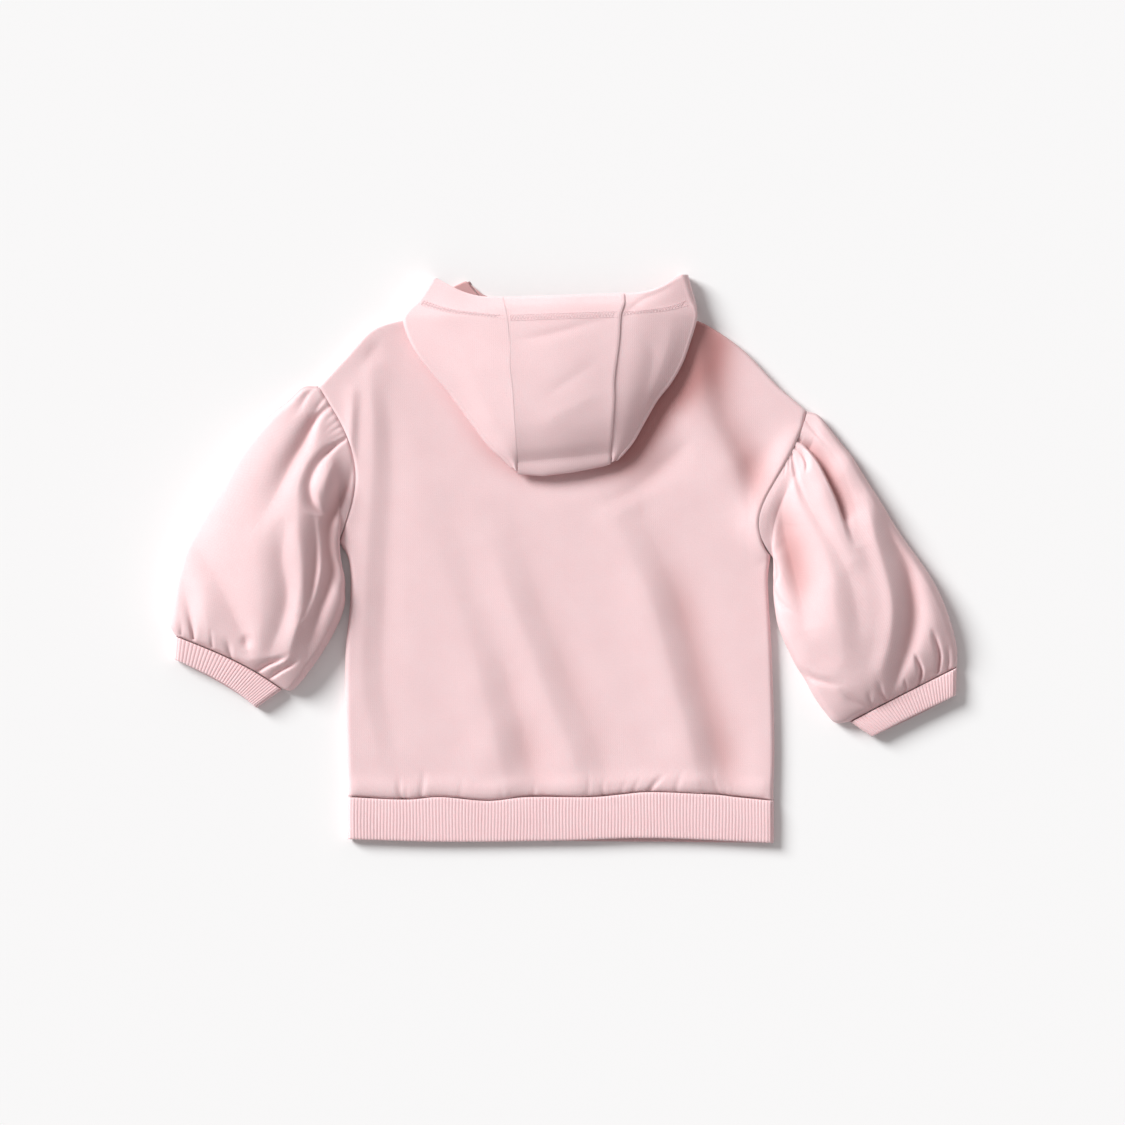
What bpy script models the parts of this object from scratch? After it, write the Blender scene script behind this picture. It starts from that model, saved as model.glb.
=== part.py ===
"""Child's zip-up hoodie, laid face down and flat, its hood dropped on its back.

The garment lies on z = 0 with its back up: +Y runs from hem to hood, +X to the
right of someone who looks down on it.  Tables are in millimetres, meshes in metres.
Every cloth piece is a wall: a surface through a few sections, given its thickness.
"""
import math
from collections import namedtuple

import bmesh
import bpy
import numpy as np

# ---- driving sizes, in millimetres ----
MM = 0.001
CLOTH = 2.0              # brushed sweatshirt knit
RIB_CLOTH = 2.4          # doubled rib knit of hem and cuffs
RIB_RISE = 0.55          # how far a rib stands above its valley
HEM_RIBS = 131
CUFF_RIBS = 36
SEAM_GAP = 0.35          # between pieces sewn edge to edge
CUFF_GAP = 0.8           # a gathered sleeve's edge stands off its cuff

FRONT_SEAM_Z = 3.85      # side seam, edge of the fronts
BACK_SEAM_Z = 4.2        # side seam, edge of the back
EDGE_TOP = 7.9           # top of the fold along sides and shoulders
BACK_LOW = 5.6           # top of the back panel where it lies lowest
ROLL = 4.0               # how far in from an edge the fold rounds over
ROLL_ALONG = (0.0, 0.0, 0.134, 0.5, 1.0)     # the rounding's points, as shares of ROLL
ROLL_RISE = (0.0, 0.22, 0.5, 0.866, 1.0)     # and how far up the fold each lies
EDGE_PUFF = 14.0         # how far in the cloth still rides up on that fold
BLOUSE_RISE = 1.9        # the back's soft bulge just above the hem seam
BLOUSE_Y = 10.0
BLOUSE_WIDTH = 8.0
NECK_DIP = 15.0          # back neckline below a line between the neck points
NECK_DIP_FROM = 158.0    # rows above this Y bend down to the back neckline
HEM_FOLLOW = 40.0        # rows this near the hem seam bend to follow its line
ROW_PITCH = 22.0         # greatest step between the body's rows
BACK_STEPS = 11          # points from each side fold to the middle of the back
FRONT_STEPS = 8
FRONT_ROLL_SHARE = 0.4   # a narrow row of a front rounds over within this share of it
HEM_TOP = 6.1            # top of the hem band, valleys of its ribs
HEM_TURN = (60, 30)      # angles of the points round the band's side folds
HEM_UNDER_STEPS = 6      # points of each half under the band

ZIP_X = -6.0
ZIP_TOP_Y = 139.0
ZIP_BOTTOM_Y = -224.0
CHAIN_HALF = 2.0
CHAIN_THICK = 2.0
CHAIN_LOW = 0.3
CHAIN_CLEAR = 0.4        # from the chain's upper end to the slider's post
TAPE_LOW = 2.75
TAPE_THICK = 0.6
TAPE_INNER = 1.2         # from the zip's middle to each tape's near edge
TAPE_OUTER = 13.0
FRONT_EDGE = CHAIN_HALF + SEAM_GAP

SLIDER_Y = 131.0
SLIDER_WIDTH = 9.0
SLIDER_LENGTH = 11.0
LOW_PLATE = (2.7, 3.7)   # bottom and top of the slider's outer plate
HIGH_PLATE = (8.2, 8.9)
POST_WIDTH = 1.4
POST_LENGTH = 2.0
PLATE_BITE = 0.3         # how far a post or leg runs into a plate
BAIL_WIDTH = 2.0
BAIL_LEG = 1.0
BAIL_REACH = 2.5         # from the hinge line to a leg's outer face
BAIL_LOW = 0.15
BAIL_BAR = 0.85
HINGE_Z = 1.85
TAB_THICK = 1.0
TAB_WIDTH = 6.4
TAB_LENGTH = 23.0
TAB_WINDOW = (3.2, 4.2)  # width and length of the eye round the bail
TAB_BAR = 0.5            # half the thickness of the bar inside the bail
TAB_BITE = 1.0           # how far the tab's pieces run into each other

LIFT_Y = 125.0           # the slider props the cloth up round this point
LIFT_REACH = 60.0
FRONT_LIFT = 4.6
BACK_LIFT = 7.4

HOOD_REST = 0.9          # hood clear of the back panel it lies on
HOOD_SEAM = 0.45         # between hood panels, edge to edge

Section = namedtuple("Section", "left_x left_y right_x right_y zip_y neck_angle rolled")
Ring = namedtuple("Ring", "outer_x outer_y inner_x inner_y bow height edge")
HoodRow = namedtuple("HoodRow", "fold_x fold_y fold_low fold_top seam_x seam_y seam_z low_x low_y")
Fold = namedtuple("Fold", "x1 y1 x2 y2 x3 y3 rise half_width")

# ---- body: rows across both layers, hem to neck; zip_y and neck_angle place the fronts ----
ZIP_HEM_Y = -191
BELOW_ARMHOLE = [
    Section(-172, -190, 168, -193, ZIP_HEM_Y, 0, 1),
    Section(-174, -132, 169, -146, -138, 0, 1),
    Section(-174, -77, 167, -77, -77, 0, 1),
    Section(-170, -33, 165, -41, -37, 0, 1),
    Section(-171, -2, 164, -17, -9, 0, 1),
]
ABOVE_ARMHOLE = [
    Section(-185, 150, 183.5, 128, 0, 13, 1),
    Section(-174, 162, 172, 138, 0, 26, 1),
    Section(-154, 183, 144, 167, 0, 48, 1),
    Section(-132, 191, 115, 187, 0, 66, 1),
    Section(-118, 194, 98, 193, 0, 84, 1),
]
ARMHOLE_STEPS = (1.0, 0.84, 0.67, 0.5, 0.34, 0.17, 0.0)   # underarm to shoulder tip
ARMHOLE_ZIP_Y = (9, 32, 55, 77, 98, 118, 139)
Armhole = namedtuple("Armhole", "tip_x tip_y under_x under_y bow lean")
ARMHOLES = {
    "left": Armhole(-196, 138, -179, 14, 21.0, 1.0),
    "right": Armhole(195, 118, 166, 3, -17.5, 2.0),
}
HEM_SEAM = ((-172, -190), (-126, -192), (-98, -190), (-60, -193), (-28, -190), (22, -190),
            (46, -188), (71, -186), (120, -188), (138, -190), (168, -193))
HEM_EDGE = ((-171, -224), (-93, -226), (-2, -225), (71, -223), (169, -227))

# soft folds of the back: three points of a bent line, height, half width
BACK_FOLDS = [
    Fold(-152, 150, -160, 60, -166, 20, 1.7, 18),
    Fold(-118, 60, -112, -60, -104, -180, 1.6, 26),
    Fold(-30, 20, 30, -60, 62, -180, 1.9, 28),
    Fold(60, 60, 96, -20, 118, -176, 1.8, 24),
    Fold(130, 120, 120, 60, 140, -20, 1.6, 20),
    Fold(-60, -40, -44, -110, -36, -182, 1.5, 24),
    Fold(146, -40, 142, -110, 150, -178, 1.6, 18),
]

# ---- sleeves: rings from the armhole to the cuff seam ----
SLEEVES = {
    "left": [
        Ring(-197.4, 138.6, -181.4, 12.6, 21.2, 8.0, 4.0),
        Ring(-208, 137, -181, 7, 16.5, 12.0, 4.0),
        Ring(-220, 126, -178, 1, 13.0, 19.0, 4.4),
        Ring(-234, 115, -176, -7, 10.0, 25.0, 4.8),
        Ring(-248, 100, -174, -16, 8.0, 29.0, 5.0),
        Ring(-262, 82, -174, -26, 6.5, 32.0, 5.4),
        Ring(-275, 60, -174, -35, 5.5, 34.0, 5.8),
        Ring(-287, 42, -177, -46, 5.0, 35.0, 6.0),
        Ring(-297, 24, -182, -57, 4.5, 35.0, 6.0),
        Ring(-305, 7, -188, -68, 4.0, 34.0, 6.0),
        Ring(-310, -12, -195, -79, 4.0, 32.0, 6.0),
        Ring(-313, -29, -203, -90, 4.5, 29.0, 6.0),
        Ring(-314, -42, -210, -99, 5.5, 25.0, 5.6),
        Ring(-314, -53, -217, -105, 6.5, 18.0, 4.8),
        Ring(-310, -61, -224, -104, 7.8, 10.0, 4.2),
    ],
    "right": [
        Ring(196.4, 118.6, 168.4, 1.8, -17.8, 8.0, 4.0),
        Ring(204, 115, 169, -2, -13.0, 12.0, 4.0),
        Ring(212, 106, 168, -10, -10.0, 19.0, 4.4),
        Ring(223, 92, 168, -18, -8.0, 25.0, 4.8),
        Ring(232, 81, 168, -28, -6.5, 29.0, 5.0),
        Ring(243, 63, 169, -38, -5.5, 32.0, 5.4),
        Ring(254, 46, 171, -50, -5.0, 34.0, 5.8),
        Ring(264, 29, 175, -62, -4.5, 35.0, 6.0),
        Ring(274, 14, 180, -73, -4.0, 35.0, 6.0),
        Ring(285, -1, 186, -85, -3.5, 34.0, 6.0),
        Ring(295, -16, 193, -96, -3.0, 32.0, 6.0),
        Ring(304, -34, 200, -109, -2.5, 29.0, 6.0),
        Ring(311, -54, 209, -122, -2.0, 25.0, 5.6),
        Ring(315, -72, 218, -131, -1.5, 18.0, 4.8),
        Ring(315, -86, 229, -130, -1.0, 10.0, 4.2),
    ],
}
SLEEVE_FOLDS = {
    "left": [
        Fold(-200, 132, -207, 128, -216, 120, -3.0, 8),
        Fold(-192, 124, -203, 112, -214, 96, -4.0, 9),
        Fold(-186, 112, -198, 98, -216, 76, -5.0, 10),
        Fold(-216, 76, -224, 60, -232, 42, -5.0, 14),
        Fold(-180, 98, -192, 82, -200, 62, -4.0, 9),
        Fold(-200, 62, -203, 46, -194, 32, -4.5, 12),
        Fold(-196, 24, -192, -8, -200, -52, -6.0, 15),
        Fold(-214, 26, -208, -34, -222, -74, 3.0, 14),
        Fold(-296, 16, -272, -22, -250, -68, -4.0, 14),
        Fold(-296, -42, -292, -54, -290, -60, -3.0, 9),
        Fold(-266, -66, -263, -76, -261, -84, -3.0, 9),
        Fold(-246, -84, -236, -92, -228, -96, -3.0, 9),
    ],
    "right": [
        Fold(197, 110, 207, 98, 215, 84, -3.5, 8),
        Fold(215, 84, 226, 58, 232, 34, -4.5, 10),
        Fold(190, 95, 202, 80, 212, 60, -5.0, 9),
        Fold(212, 60, 220, 42, 228, 20, -6.0, 10),
        Fold(182, 80, 190, 60, 204, 30, -4.5, 10),
        Fold(204, 30, 222, -10, 240, -54, -3.5, 13),
        Fold(174, 36, 173, 10, 184, -34, -5.0, 14),
        Fold(256, 40, 268, -18, 270, -92, -4.0, 13),
        Fold(280, -76, 283, -88, 285, -94, -3.0, 9),
        Fold(298, -68, 300, -80, 300, -90, -3.0, 9),
        Fold(196, -90, 208, -98, 222, -104, -3.0, 10),
    ],
}
SLEEVE_TOP_STEPS = 20
SLEEVE_UNDER_STEPS = 5
SLEEVE_HALVED = range(2, 12)     # rings that get another half way to the next
SLEEVE_FULL_FROM = 4     # from this ring on the section is a full dome
FOLDS_FROM = (8.0, 20.0)         # ring heights between which the folds grow to their depth
FOLDS_LEAST = 0.25
DOME_FLATTER = 0.25      # how much flatter than a sine wave a full section's top is
LEAST_TOP = 0.9          # a fold goes no lower than this share of the edge's height
Cuff = namedtuple("Cuff", "seam_outer seam_inner edge_outer edge_inner seam_bow edge_bow")
CUFFS = {
    "left": Cuff((-310, -61), (-224, -104), (-311, -80), (-245, -119), 7.8, 7.0),
    "right": Cuff((315, -86), (229, -130), (314, -109), (247, -142), -1.0, -1.0),
}
CUFF_TOP = 8.4
CUFF_ROLL = 4.1

# ---- hood: rows from the face opening to the bottom fold, then the lines they start from ----
HOOD_ROWS = {
    "left": [
        HoodRow(-107, 224, 0.0, 17.0, -48, 209, 20.0, 0, 0),
        HoodRow(-112, 215, 0.5, 17.0, -47, 205, 20.8, 0, 0),
        HoodRow(-118, 206, 1.5, 17.4, -46, 201, 21.6, 0, 0),
        HoodRow(-124, 199, 7.6, 18.2, -45, 196, 22.3, -39.5, 174),
        HoodRow(-128, 191, 8.6, 19.0, -44, 190, 23.0, -39, 168),
        HoodRow(-123, 175, 8.8, 19.6, -42, 171, 24.0, -40, 158),
        HoodRow(-115, 161, 8.8, 20.0, -42, 153, 24.6, -40, 146),
        HoodRow(-104, 147, 8.8, 20.0, -40, 136, 24.8, -39, 132),
        HoodRow(-92, 133, 8.8, 19.8, -39, 119, 24.6, -38, 117),
        HoodRow(-75, 110, 8.8, 19.2, -38, 103, 23.6, -38, 101),
        HoodRow(-59, 89, 8.8, 18.6, -37, 88, 21.6, -37, 88),
        HoodRow(-47, 78, 8.8, 17.8, -36, 77, 18.4, -36, 77),
        HoodRow(-41.5, 72.5, 10.8, 15.6, -36.5, 70, 15.9, -36.5, 70),
    ],
    "right": [
        HoodRow(100, 227, 0.0, 17.0, 49, 212, 20.0, 0, 0),
        HoodRow(103, 216, 0.5, 17.0, 49, 208, 20.8, 0, 0),
        HoodRow(106, 206, 1.5, 17.4, 49, 204, 21.6, 0, 0),
        HoodRow(107, 199, 7.6, 18.2, 47.5, 199, 22.3, 40, 174),
        HoodRow(107, 191, 8.6, 19.0, 46, 193, 23.0, 40, 168),
        HoodRow(102, 174, 8.8, 19.6, 45, 175, 24.0, 40, 158),
        HoodRow(96, 157, 8.8, 20.0, 43, 159, 24.6, 40, 146),
        HoodRow(87, 141, 8.8, 20.0, 41, 143, 24.8, 40, 132),
        HoodRow(76, 127, 8.8, 19.8, 41, 127, 24.6, 40, 117),
        HoodRow(66, 110, 8.8, 19.2, 40, 111, 23.6, 40, 105),
        HoodRow(57, 94, 8.8, 18.6, 39, 96, 21.6, 39, 94),
        HoodRow(49, 84, 8.8, 17.8, 38, 84, 18.4, 38, 84),
        HoodRow(43.5, 78.5, 10.8, 15.6, 38.5, 77, 15.9, 38.5, 77),
    ],
}
HOOD_PART_ROW = 2        # where the flap in front of the neck parts from the one behind it
RIM_SAG = {"left": 5.0, "right": 4.5}
FLAP_EDGE = {            # far edge of the hood's front, from its tip to where the halves meet
    "left": ((-107, 224), (-100, 218), (-92, 216), (-85, 219), (-78, 222), (-75.6, 220)),
    "right": ((100, 227), (84, 215), (55, 205), (10, 199), (-54, 208), (-74.4, 219.5)),
}
FLAP_NECK_ANGLES = (66, 48, 26, 13, 0)
HALVES_GAP = 0.4         # from the zip's line to each half of the hood's front
RIM_ROWS = 4             # rows from the face opening that follow its sag
HOOD_STEPS = 6           # points from a seam to the side fold
HOOD_CROWN = 1.2         # how much the panels swell between seam and fold
FOLD_ANGLES = (90, 60, 30, 0, -30, -60, -90)
FOLD_DEPTH = 0.8         # depth of the side fold's rounding, as a share of half its height
HOOD_CORNER = 30.0       # how near the neck points the hood keeps clear of the shoulders
NECK_TURN = 7.0          # from the side fold to where the neck seam starts
NECK_STEP = 5.0          # how far beyond the back's corner the hood comes up over it
STRIP_HALF = 40.0        # half the centre strip's width at the back neckline
STRIP_STEPS = 6
STRIP_EDGE = ((-36, 67.5), (-16, 66), (8, 69), (33, 74), (39, 76))   # its bottom fold
STRIP_CROWN = 1.4

COLOURS = {              # base colour (linear), roughness, metallic
    "fleece": ((0.87, 0.61, 0.62), 0.92, 0.0),
    "rib_knit": ((0.84, 0.57, 0.58), 0.9, 0.0),
    "zip_tape": ((0.85, 0.6, 0.61), 0.85, 0.0),
    "zip_nylon": ((0.82, 0.57, 0.58), 0.5, 0.0),
    "zip_metal": ((0.72, 0.72, 0.74), 0.35, 1.0),
}


# ---- shapes worked out from the sizes ----
def bump(distance, reach):
    """1 on a line, 0 from reach outwards, a cosine between."""
    share = np.clip(np.asarray(distance, dtype=float) / reach, 0, 1)
    return 0.5 + 0.5 * np.cos(math.pi * share)


def off_line(x, y, x1, y1, x2, y2):
    """Distance from each point to a straight piece of line."""
    along_x, along_y = x2 - x1, y2 - y1
    length = max(along_x ** 2 + along_y ** 2, 1e-9)
    share = np.clip(((x - x1) * along_x + (y - y1) * along_y) / length, 0, 1)
    return np.hypot(x - x1 - share * along_x, y - y1 - share * along_y)


def relief(x, y, folds):
    """Height the folds add: the highest soft ridge and the deepest soft trough at each point."""
    ridge, trough = np.zeros(np.shape(x)), np.zeros(np.shape(x))
    for fold in folds:
        near = np.minimum(off_line(x, y, fold.x1, fold.y1, fold.x2, fold.y2),
                          off_line(x, y, fold.x2, fold.y2, fold.x3, fold.y3))
        shape = fold.rise * bump(near, fold.half_width)
        ridge, trough = np.maximum(ridge, shape), np.minimum(trough, shape)
    return ridge + trough


def slider_lift(x, y, height):
    """How far the slider props the cloth up round it."""
    return height * bump(np.hypot(x - ZIP_X, y - LIFT_Y), LIFT_REACH)


def back_height(x, y):
    """Top of the back panel away from its edges."""
    folds = np.clip(relief(x, y, BACK_FOLDS), 0, EDGE_TOP - BACK_LOW)
    return BACK_LOW + folds + slider_lift(x, y, BACK_LIFT)


def hem_line(x, line):
    """Y of the hem seam or the hem's edge, as it shows on the back."""
    return np.interp(x, [point[0] for point in line], [point[1] for point in line])


def under_hem(x):
    """Y of the hem seam on the fronts, straight from side to side."""
    return hem_line(x, (HEM_SEAM[0], HEM_SEAM[-1]))


def armhole_point(side, share):
    """A point of the armhole seam, from the shoulder tip (0) to the underarm (1)."""
    arm = ARMHOLES[side]
    x = arm.tip_x + (arm.under_x - arm.tip_x) * share
    y = arm.tip_y + (arm.under_y - arm.tip_y) * share
    return x + arm.bow * math.sin(math.pi * share ** arm.lean), y


def neck_point(side, angle, clear=0.0):
    """A point of the front neckline, from the zip (0 degrees) to the neck point (90)."""
    neck = ABOVE_ARMHOLE[-1]
    far_x, far_y = (neck.left_x, neck.left_y) if side == "left" else (neck.right_x, neck.right_y)
    turn = math.radians(angle)
    way = -1 if side == "left" else 1
    reach = abs(far_x - ZIP_X) - FRONT_EDGE
    x = ZIP_X + way * (FRONT_EDGE + reach * math.sin(turn))
    y = far_y - (far_y - ZIP_TOP_Y) * math.cos(turn)
    return x - way * clear * math.sin(turn), y + clear * math.cos(turn)


def body_sections():
    """The table's rows, with the armhole's worked out and the long spans divided."""
    rows = list(BELOW_ARMHOLE)
    for share, zip_y in zip(ARMHOLE_STEPS, ARMHOLE_ZIP_Y):
        left, right = armhole_point("left", share), armhole_point("right", share)
        at_end = 1 if share in (0.0, 1.0) else 0
        rows.append(Section(*left, *right, zip_y, 0, at_end))
    rows += ABOVE_ARMHOLE
    fine = []
    for low, high in zip(rows, rows[1:]):
        steps = max(1, round((high.left_y - low.left_y) / ROW_PITCH))
        for step in range(steps):
            share = step / steps
            fine.append(Section(*(a + (b - a) * share for a, b in zip(low, high))))
    return fine + [rows[-1]]


def across(length, steps, roll, roll_steps=3):
    """Distances round a ring's half, close together where its two edges round over."""
    angles = np.linspace(0, math.pi / 2, roll_steps + 1)
    start = roll * (1 - np.cos(angles))
    inside = np.linspace(roll, length - roll, steps + 1)[1:-1]
    return np.concatenate([start, inside, (length - start)[::-1]])


def panel_row(length, steps, roll=ROLL):
    """Distances from a panel's folded edge, and how far up its fold each of them lies."""
    along = np.concatenate([np.array(ROLL_ALONG) * roll, np.linspace(roll, length, steps)[1:]])
    rise = np.concatenate([ROLL_RISE, np.ones(steps - 1)])
    return along, rise


def from_edge(distance, roll=ROLL):
    """0 at an edge, 1 where its rounding ends, along a quarter circle."""
    share = np.clip(distance / roll, 0, 1)
    return np.sqrt(np.clip(1 - (1 - share) ** 2, 0, 1))


# ---- meshes ----
def grid_faces(rows, columns, start, closed):
    """Quads of a grid of points, its columns joined up where closed."""
    faces = []
    last = columns if closed else columns - 1
    for row in range(rows - 1):
        for column in range(last):
            after = (column + 1) % columns
            low, high = start + row * columns, start + (row + 1) * columns
            faces.append((low + column, low + after, high + after, high + column))
    return faces


def new_object(name, vertices, faces, material):
    mesh = bpy.data.meshes.new(name)
    mesh.from_pydata([tuple(MM * float(value) for value in point) for point in vertices], [], faces)
    mesh.materials.append(material)
    mesh.update()
    piece = bpy.data.objects.new(name, mesh)
    GARMENT.objects.link(piece)
    return piece


def weld(piece, distance=0.00001):
    shape = bmesh.new()
    shape.from_mesh(piece.data)
    bmesh.ops.remove_doubles(shape, verts=shape.verts, dist=distance)
    shape.to_mesh(piece.data)
    shape.free()


def cloth(name, grids, material, thickness=CLOTH, closed=False, turned=False, even=True):
    """A wall of cloth: grids of points on its outer side, made solid towards the inside."""
    vertices, faces = [], []
    for grid in grids:
        points = np.asarray(grid, dtype=float)
        rows, columns = points.shape[:2]
        faces += grid_faces(rows, columns, len(vertices), closed)
        vertices += list(points.reshape(-1, 3))
    if turned:
        faces = [face[::-1] for face in faces]
    piece = new_object(name, vertices, faces, material)
    weld(piece)
    wall = piece.modifiers.new("wall", "SOLIDIFY")
    wall.thickness = thickness * MM
    wall.offset = -1
    wall.use_even_offset = even
    wall.use_quality_normals = True
    piece.data.shade_smooth()
    return piece


def ribbed(name, outer, inner, material, closed):
    """A rib-knit wall: ribbed points outside, plain points inside, joined round their rims."""
    outer, inner = np.asarray(outer, dtype=float), np.asarray(inner, dtype=float)
    rows, columns = outer.shape[:2]
    count = rows * columns
    faces = grid_faces(rows, columns, 0, closed)
    faces += [face[::-1] for face in grid_faces(rows, columns, count, closed)]
    last = columns if closed else columns - 1
    top = (rows - 1) * columns
    for column in range(last):
        after = (column + 1) % columns
        faces.append((after, column, count + column, count + after))
        faces.append((top + column, top + after, count + top + after, count + top + column))
    if not closed:
        for row in range(rows - 1):
            low, high = row * columns, (row + 1) * columns
            faces.append((low, high, count + high, count + low))
            end_low, end_high = low + columns - 1, high + columns - 1
            faces.append((end_high, end_low, count + end_low, count + end_high))
    points = list(outer.reshape(-1, 3)) + list(inner.reshape(-1, 3))
    return new_object(name, points, faces, material)


# ---- body ----
def back_row(section):
    """One row of the back, from its left edge to its right edge."""
    span_x, span_y = section.right_x - section.left_x, section.right_y - section.left_y
    length = math.hypot(span_x, span_y)
    half, rise = panel_row(length / 2, BACK_STEPS)
    along = np.concatenate([half, (length - half)[-2::-1]])
    rise = np.concatenate([rise, rise[-2::-1]])
    x = section.left_x + span_x * along / length
    y = section.left_y + span_y * along / length
    near = np.minimum(along, length - along)
    top = back_height(x, y)
    top = top + np.maximum(EDGE_TOP - top, 0) * np.exp(-(near / EDGE_PUFF) ** 2)
    round_over = 1 - section.rolled * (1 - rise)
    return x, y, BACK_SEAM_Z + (top - BACK_SEAM_Z) * round_over, along / length


def make_back():
    sections = body_sections()
    bottom, neck = sections[0], sections[-1]
    grid = []
    for section in sections:
        x, y, z, share = back_row(section)
        above = section.left_y - bottom.left_y
        hem_share = np.clip(1 - above / HEM_FOLLOW, 0, 1)
        seam = hem_line(x, HEM_SEAM) + SEAM_GAP
        straight = bottom.left_y + (bottom.right_y - bottom.left_y) * share
        y = y + (seam - straight) * hem_share
        neck_share = (section.left_y - NECK_DIP_FROM) / (neck.left_y - NECK_DIP_FROM)
        neck_share = np.clip(neck_share, 0, 1) ** 2
        y = y - NECK_DIP * neck_share * np.sin(math.pi * share)
        swell = np.exp(-((y - hem_line(x, HEM_SEAM) - BLOUSE_Y) / BLOUSE_WIDTH) ** 2)
        room = np.clip((EDGE_TOP - z) / (EDGE_TOP - BACK_LOW), 0, 1)
        z = z + BLOUSE_RISE * swell * room * (z >= BACK_LOW)
        grid.append(np.stack([x, y, z], axis=-1))
    return cloth("back_panel", [grid], MATERIALS["fleece"])


def make_front(side):
    """One front: its outer face lies on the surface, its edge turns up to the side seam."""
    way = -1 if side == "left" else 1
    grid = []
    for section in body_sections():
        edge = np.array([section.left_x, section.left_y] if side == "left"
                        else [section.right_x, section.right_y])
        if section.neck_angle > 0:
            inner = np.array(neck_point(side, section.neck_angle))
        else:
            inner = np.array([ZIP_X + way * FRONT_EDGE, section.zip_y])
        length = np.hypot(*(inner - edge))
        along, rise = panel_row(length, FRONT_STEPS, min(ROLL, FRONT_ROLL_SHARE * length))
        points = edge + np.outer(along / length, inner - edge)
        x, y = points[:, 0], points[:, 1]
        if section.zip_y == ZIP_HEM_Y:
            y = under_hem(x) + SEAM_GAP / 2
        z = FRONT_SEAM_Z * section.rolled * (1 - rise)
        z = z + slider_lift(x, y, FRONT_LIFT)
        grid.append(np.stack([x, y, z], axis=-1))
    return cloth("front_" + side, [grid], MATERIALS["fleece"], turned=(side == "left"))


def band_loop(start, end, top, roll, top_steps, under_steps, wall, bow, rib):
    """A flattened ring round a straight line: over the top from start to end, back below."""
    start, end = np.array(start, dtype=float), np.array(end, dtype=float)
    length = np.hypot(*(end - start))
    line = (end - start) / length
    over = np.linspace(wall, length - wall, top_steps + 1)
    under = across(length - 2 * wall, under_steps, roll - wall, 2)[::-1][1:-1] + wall
    radius = roll - wall
    near_over = np.minimum(over, length - over) - wall
    near_under = np.minimum(under, length - under) - wall
    z_over = roll + (top - wall - roll) * from_edge(near_over, radius)
    z_over[1:-1] += rib * (np.arange(1, top_steps) % 2)
    z_under = wall + radius * (1 - from_edge(near_under, radius))
    along = np.concatenate([over, under])
    z = np.concatenate([z_over, z_under])
    plan = start + np.outer(along, line)
    plan[:, 0] += bow * np.sin(math.pi * along / length)
    return np.column_stack([plan, z])


def make_cuff(side):
    cuff = CUFFS[side]
    rings = {0.0: [], RIB_CLOTH: []}
    start = np.array([cuff.seam_outer, cuff.seam_inner], dtype=float)
    finish = np.array([cuff.edge_outer, cuff.edge_inner], dtype=float)
    drop = (finish - start) / np.linalg.norm(finish - start, axis=1)[:, None]
    start = start + drop * CUFF_GAP
    for wall, loops in rings.items():
        rib = RIB_RISE if wall == 0.0 else 0.0
        for share, bow in ((0.0, cuff.seam_bow), (1.0, cuff.edge_bow)):
            outer, inner = start + (finish - start) * share
            loops.append(band_loop(outer, inner, CUFF_TOP, CUFF_ROLL, 2 * CUFF_RIBS, 4,
                                   wall, bow, rib))
    outer, inner = rings[0.0], rings[RIB_CLOTH]
    if side == "left":
        outer, inner = outer[::-1], inner[::-1]
    return ribbed("cuff_" + side, outer, inner, MATERIALS["rib_knit"], closed=True)


def hem_ring(line, wall, shift):
    """The hem band's section along X: left zip edge, round the left fold, over, and back."""
    left, right = line[0][0] + wall, line[-1][0] - wall
    radius = ROLL - wall
    over = np.linspace(left, right, 2 * HEM_RIBS + 1)
    near = np.minimum(over - left, right - over)
    top = HEM_TOP + (EDGE_TOP - HEM_TOP) * np.exp(-(near / EDGE_PUFF) ** 2) - wall
    z_over = ROLL + (top - ROLL) * from_edge(near, radius)
    if wall == 0.0:
        z_over[1:-1] += RIB_RISE * (np.arange(1, len(over) - 1) % 2)
    turn = np.radians(HEM_TURN)
    inset, rise = radius * (1 - np.cos(turn)), wall + radius * (1 - np.sin(turn))
    flat = np.full(HEM_UNDER_STEPS, wall)
    to_left = np.linspace(ZIP_X - FRONT_EDGE, left + radius, HEM_UNDER_STEPS)
    to_right = np.linspace(right - radius, ZIP_X + FRONT_EDGE, HEM_UNDER_STEPS)
    under_left = np.concatenate([to_left, left + inset])
    under_right = np.concatenate([right - inset[::-1], to_right])
    z_left = np.concatenate([flat, rise])
    z_right = np.concatenate([rise[::-1], flat])
    ends = (line[0], line[-1])
    x = np.concatenate([under_left, over, under_right])
    y = np.concatenate([hem_line(under_left, ends), hem_line(over, line), hem_line(under_right, ends)])
    z = np.concatenate([z_left, z_over, z_right])
    return np.column_stack([x, y + shift, z])


def make_hem():
    outer = [hem_ring(HEM_EDGE, 0.0, 0), hem_ring(HEM_SEAM, 0.0, -SEAM_GAP / 2)]
    inner = [hem_ring(HEM_EDGE, RIB_CLOTH, 0), hem_ring(HEM_SEAM, RIB_CLOTH, -SEAM_GAP / 2)]
    return ribbed("hem_band", outer, inner, MATERIALS["rib_knit"], closed=False)


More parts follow.
